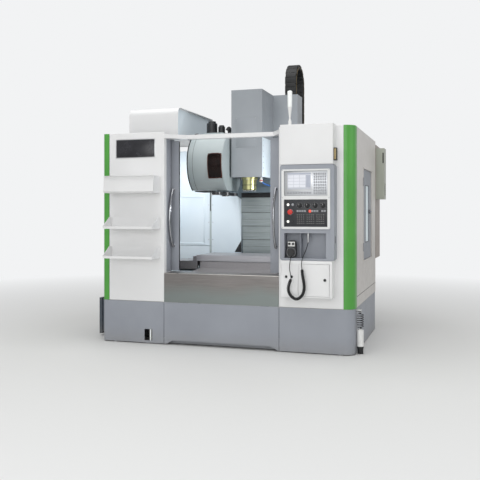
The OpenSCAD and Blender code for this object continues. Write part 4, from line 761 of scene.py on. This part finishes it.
# Each nested plate lies a step further back, a step narrower and a pitch lower than the one above.
COVER_X, _, COVER_Z = limits("z_cover_top")
COVER_STEP, COVER_PITCH = 4, COVER_Z[0] - limits("z_cover_upper")[2][0]
for i, (name, body) in enumerate((("top", "head"), ("upper", "way_cover_upper"),
                                  ("middle", "way_cover_middle"), ("lower", "way_cover_lower"),
                                  ("fixed", "frame"))):
    half, y, low = COVER_X[1] - i * COVER_STEP, 1374 + i * COVER_STEP, COVER_Z[0] - i * COVER_PITCH
    # A thin dark tube along each plate stands for the shade in its crease: painted shade.
    tube("way_cover_crease_shade_" + name, [(x, y + 1.35, low + 80) for x in (-half + 2, 0, half - 2)], 1.6,
         DARK_STEEL_AND_SHADE, body)
    if name != "fixed":
        tube("way_cover_wiper_" + name, [(x, y + 0.4, low + 2) for x in (-half + 1, 0, half - 1)], 2.4,
             BLACK_RUBBER, body)

# ---- Rear of the cutting space -----------------------------------------------


def raised_frame(name, x, z, y, width, depth, material):
    """Four bars around a panel that stand out towards the front."""
    bm = bmesh.new()
    for low in (z[0], z[1] - width):
        block(bm, x, (y - depth, y + 1), (low, low + width), 1.5, 2)
    for left in (x[0], x[1] - width):
        block(bm, (left, left + width), (y - depth, y + 1), inset(z, width), 1.5, 2)
    finish_piece(name, bm, material)


def cut_sheet(name, corners, thickness, material):
    """A flat sheet cut to its corners, given a thickness by moving its face along a vector."""
    bm = bmesh.new()
    face = bm.faces.new([bm.verts.new(p) for p in corners])
    grown = bmesh.ops.extrude_face_region(bm, geom=[face])
    bmesh.ops.translate(bm, verts=[v for v in grown["geom"] if isinstance(v, bmesh.types.BMVert)],
                        vec=thickness)
    finish_piece(name, bm, material)


raised_frame("rear_guard_emboss", (-1028, -715), (906, 1466), GUARD_FRONT, 16, 5, PALE_BLUE)
plate("rear_guard_shelf", (-1228, -655), (1396, 1406), (894, 904), PALE_BLUE, soft=3)
plate("rear_guard_seam", (-655, -633), (1401, 1406), (545, 1980), DRUM, soft=1)
plate("rear_guard_seam_shadow", (-651, -640), (1399.5, 1402), (1290, 1975), DARK_STEEL_AND_SHADE, soft=0.6)
# Behind the guards' notch, beside the head slide.
plate("rear_guard_infill", (-430, -264), (1425, 1428), (1380, 1616), CASTING, soft=0.8)
screws("rear_guard_screws", [(x, GUARD_FRONT, z) for x in (-668, -618) for z in range(760, 1960, 200)], "y",
       r=5)
cut_sheet("rear_guard_corner", ((-350, 1399, 821), (-272, 1399, 821), (-272, 1399, 950)), (0, 6, 0), BLACK)
plate("work_lamp", (-1217, -1173), (640, 1120), (1880, 1925), LAMP_GLOW, soft=8, steps=4)
plate("work_lamp_mount", (-1261, -1213), (600, 1160), (1870, 1935), SILVER, soft=3)

HOOD_R, LINING_X = 60, -680.4
lining_y, lining_z = inset(HOOD_Y, 8), (HOOD_Z[0] + 6, HOOD_Z[1] - 12)
hood_corner = [(LINING_X, lining_y[0] + HOOD_R - HOOD_R * cos(radians(a)),
                lining_z[1] - HOOD_R + HOOD_R * sin(radians(a))) for a in range(0, 91, 10)]
lining = [(LINING_X, lining_y[0], lining_z[0]), *hood_corner, (LINING_X, lining_y[1], lining_z[1]),
          (LINING_X, lining_y[1], lining_z[0])]
cut_sheet("hood_inner_panel", lining, (1.6, 0, 0), PALE_BLUE)

# ---- Tool magazine -----------------------------------------------------------


def on_drum(x, angle, r):
    """A point on the drum, by its angle above the front in degrees and its distance from the axis."""
    a = radians(angle)
    return (x, SPINDLE_Y - r * cos(a), DRUM_Z + r * sin(a))


FRONT_ARC = range(-58, 146, 6)
tube("drum_seal", [on_drum(DRUM_X[0] + 2, a, DRUM_R + 0.5) for a in FRONT_ARC], 6, BLACK_RUBBER)
tube("drum_seam", [on_drum(DRUM_X[0] + 60, a, DRUM_R) for a in FRONT_ARC], 1.6, DARK_GAP)
tube("drum_rim", [on_drum(DRUM_X[1] - 6, a, DRUM_R - 1) for a in FRONT_ARC], 3, DRUM)

PANE_LEFT, PANE_RIGHT, PANE_LOW, PANE_HIGH, PANE_R = -348, -202, -28.5, 16, DRUM_R + 3
pane = bmesh.new()
first = [pane.verts.new(on_drum(x, PANE_LOW, PANE_R)) for x in (PANE_LEFT, PANE_RIGHT)]
bmesh.ops.spin(pane, geom=[*first, pane.edges.new(first)], cent=(0, SPINDLE_Y, DRUM_Z), axis=(1, 0, 0),
               angle=radians(PANE_LOW - PANE_HIGH), steps=14)
bmesh.ops.recalc_face_normals(pane, faces=pane.faces)
bmesh.ops.solidify(pane, geom=pane.faces[:], thickness=2.5)
finish_piece("drum_pane", pane, BROWN_PANE)
pane_middle = (PANE_LEFT + PANE_RIGHT) / 2
ring = [on_drum(x, PANE_LOW, PANE_R) for x in (PANE_LEFT, pane_middle, PANE_RIGHT)]
ring += [on_drum(PANE_RIGHT, PANE_LOW + k * 6.3, PANE_R) for k in range(1, 7)]
ring += [on_drum(x, PANE_HIGH, PANE_R) for x in (PANE_RIGHT, pane_middle, PANE_LEFT)]
ring += [on_drum(PANE_LEFT, PANE_HIGH - k * 6.3, PANE_R) for k in range(1, 7)] + ring[:1]
tube("drum_pane_seal", ring, 5, RUST_SEAL)

screws("drum_screws", [on_drum(x, a, DRUM_R + 1) for x in (DRUM_X[0] + 25, DRUM_X[1] - 8)
                       for a in (-40, 0, 40, 80)], "y", r=4)
plate("drum_shutter", (-558, -400), (690, 960), (1489, 1501), BLACK, soft=2)


def motor(bm, place, axis, r, h):
    """A round servo motor: flange, finned body, and the brake's narrower cap."""
    outline = [(0, h), (0.62 * r, h), (0.70 * r, 0.97 * h), (0.70 * r, 0.84 * h), (0.92 * r, 0.82 * h),
               (0.96 * r, 0.79 * h)]
    for k in range(5):
        top = (0.76 - 0.12 * k) * h
        outline += [(0.96 * r, top), (0.90 * r, top - 0.01 * h), (0.90 * r, top - 0.03 * h),
                    (0.96 * r, top - 0.04 * h)]
    turned(bm, place, axis, outline + [(0.96 * r, 0.14 * h), (r, 0.13 * h), (r, 0), (0, 0)], 28)


motors = bmesh.new()
for place, axis, r, h in (((-423, 850, 2119), "z", 60, 130), ((-314, 850, 2119), "z", 38, 84),
                          ((0, 1610, 2120), "z", 75, 260), ((0, 340, 445), "y", 55, 110)):
    motor(motors, place, axis, r, h)
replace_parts(finish_piece("round_servo_motors", motors, MOTOR), "servo_motors")
plate("drum_valve_bracket", (-226, -206), (790, 850), (2104, 2132), BLACK, soft=2)
round_piece("drum_valve", (-216, 862, 2150), "y",
            [(0, 86), (15, 86), (18, 82), (18, 60), (23, 56), (23, 14), (19, 10), (19, 0), (0, 0)], BLACK,
            steps=28)
tube("drum_conduit", [(-262, 850, 2150), (-250, 850, 2176), (-234, 852, 2184), (-218, 856, 2178),
                      (-216, 858, 2160)], 7, BLACK_RUBBER)

# ---- Cable chain -------------------------------------------------------------

# A hairpin: up from the head, half a turn over an arch, and down to the column.
CHAIN_Y, CHAIN_LOW, CHAIN_R, CHAIN_LEG, CHAIN_LINKS = 1439.7, 2200.0, 195.0, 540.0, 32
CHAIN_ARCH = pi * CHAIN_R


def chain_spot(s):
    """Place and turn at a distance s along the chain's hairpin."""
    if s < CHAIN_LEG:
        return CHAIN_Y, CHAIN_LOW + s, 0.0
    if s < CHAIN_LEG + CHAIN_ARCH:
        a = (s - CHAIN_LEG) / CHAIN_R
        return CHAIN_Y + CHAIN_R * (1 - cos(a)), CHAIN_LOW + CHAIN_LEG + CHAIN_R * sin(a), a
    return CHAIN_Y + 2 * CHAIN_R, CHAIN_LOW + CHAIN_LEG - (s - CHAIN_LEG - CHAIN_ARCH), pi


link_pitch = (2 * CHAIN_LEG + CHAIN_ARCH) / CHAIN_LINKS
for side, off in (("outer", -24), ("inner", 24)):
    links = bmesh.new()
    for i in range(CHAIN_LINKS):
        y, z, a = chain_spot((i + 0.5) * link_pitch)
        before = set(links.verts)
        # On the arch the inner plates are shorter and the outer ones longer.
        half = link_pitch / 2 - 1.5 - off / CHAIN_R * link_pitch / 2 * (0 < a < 3)
        block(links, inset(CHAIN_X, 4), (off - 1.6, off + 1.6), (-half, half), 1.2, 2)
        bmesh.ops.transform(links, matrix=Matrix.Translation((0, y, z)) @ Matrix.Rotation(-a, 4, "X"),
                            verts=[v for v in links.verts if v not in before])
    finish_piece("chain_%s_plates" % side, links, CHAIN_BLACK)
edge_line = [chain_spot(s)[:2] for s in range(20, 1680, 40)]
for side, x in zip(("left", "right"), inset(CHAIN_X, -1.5)):
    tube("chain_%s_edge" % side, [(x, y, z) for y, z in edge_line], 2.4, BRASS)

# ---- Right-hand side ---------------------------------------------------------

plate("right_wall_seam", (WALL_FACE - 1, WALL_FACE + 0.8), (168, 1558), (507, 511), DARK_GAP, soft=0.3)


def side_frame(name, x, y, z, width, material, body="frame"):
    """Four square bars around an opening in the side wall."""
    bm = bmesh.new()
    for low in (y[0] - width, y[1]):
        block(bm, x, (low, low + width), z, 1.2, 2)
    for low in (z[0] - width, z[1]):
        block(bm, x, inset(y, -width), (low, low + width), 1.2, 2)
    finish_piece(name, bm, material, body)


_, leaf_y, leaf_z = limits("side_door")
side_frame("side_door_surround", (WALL_FACE - 1, WALL_FACE + 4), (581, leaf_y[1] + 3), inset(leaf_z, -3), 12,
           SHADED_WALL_CREAM)
_, glass_y, glass_z = limits("side_window")
side_frame("side_window_seal", (1213, 1217), glass_y, glass_z, 6, DARK_STEEL_AND_SHADE, "side_leaf")
plate("cooler_slot", (1296.5, 1309.5), (1609.4, 1612), (1817, 1932), DARK_GAP, soft=0.5)
plate("side_latch_plate", (1214, 1221), (1070, 1190), (1262, 1300), BLACK, "side_leaf", soft=1.5)

# ---- Rear and left side ------------------------------------------------------

louvres = bmesh.new()
for k in range(9):
    for low in (1000, 1640):
        block(louvres, (620, 900), (1984, 1989), (low + k * 24, low + k * 24 + 12), 2, 2)
finish_piece("rear_door_louvres", louvres, CREAM, "rear_leaf")
plate("tank_pull", (TANK_FACE - 8, TANK_FACE + 1), (560, 720), (300, 324), BLACK, soft=3)

# ---- Air gun at the right ----------------------------------------------------

round_piece("air_fitting", (WALL_FACE, AIR_Y, 392), "x",
            [(16, 0), (16, 5), (11, 7), (11, 22), (14, 24), (14, 46), (0, 48)], STEEL)
round_piece("air_coupling", (AIR_X, AIR_Y, 370), "z",
            [(0, 0), (7, 0), (9, 6), (9, 14), (11, 16), (11, 34)], STEEL)
round_piece("air_gun_tip", (AIR_X, AIR_Y, 0), "z",
            [(0, 0), (24, 0), (26.5, 4), (26.5, 40), (30.3, 62), (30.3, 70), (30, 71)], BLACK)

# ---- Stage -------------------------------------------------------------------

BACKDROP = linear("#F2F3F4")
floor_material, floor_tree, floor_place, floor_shader = start("studio_floor")
floor_shader.inputs["Base Color"].default_value = linear("#DADAD8")
floor_shader.inputs["Roughness"].default_value = 0.55
# Far from the machine the floor fades into the backdrop, for the camera alone.
distance = add(floor_tree, "ShaderNodeVectorMath", {0: floor_place}, operation="LENGTH").outputs["Value"]
camera_ray = add(floor_tree, "ShaderNodeLightPath").outputs["Is Camera Ray"]
fade = add(floor_tree, "ShaderNodeMath", {0: level(floor_tree, distance, 0, 1, 2.2, 7.5), 1: camera_ray},
           operation="MULTIPLY").outputs[0]
haze = add(floor_tree, "ShaderNodeEmission", values={"Color": BACKDROP, "Strength": 1.0})
faded = add(floor_tree, "ShaderNodeMixShader", {0: fade, 1: floor_shader.outputs[0], 2: haze.outputs[0]})
add(floor_tree, "ShaderNodeOutputMaterial", {"Surface": faded.outputs[0]}).is_active_output = True
ground = bmesh.new()
bmesh.ops.create_grid(ground, x_segments=1, y_segments=1, size=30)
mesh = bpy.data.meshes.new("studio_floor")
ground.to_mesh(mesh)
ground.free()
studio_floor = bpy.data.objects.new("studio_floor", mesh)
bpy.context.scene.collection.objects.link(studio_floor)
studio_floor.location = (0, 0, -0.001)
mesh.materials.append(floor_material)

world = bpy.data.worlds.new("studio")
bpy.context.scene.world = world
world.use_nodes = True
sky = world.node_tree
sky.nodes.clear()
seen = add(sky, "ShaderNodeLightPath")
direct = add(sky, "ShaderNodeMath", {0: seen.outputs["Is Camera Ray"],
                                     1: seen.outputs["Is Transmission Ray"]},
             operation="MAXIMUM").outputs[0]
shown = add(sky, "ShaderNodeBackground", values={"Color": BACKDROP, "Strength": 1.0})
lit = add(sky, "ShaderNodeBackground", values={"Color": linear("#F1F2F3"), "Strength": 0.63})
both = add(sky, "ShaderNodeMixShader", {0: direct, 1: lit.outputs[0], 2: shown.outputs[0]})
add(sky, "ShaderNodeOutputWorld", {"Surface": both.outputs[0]})
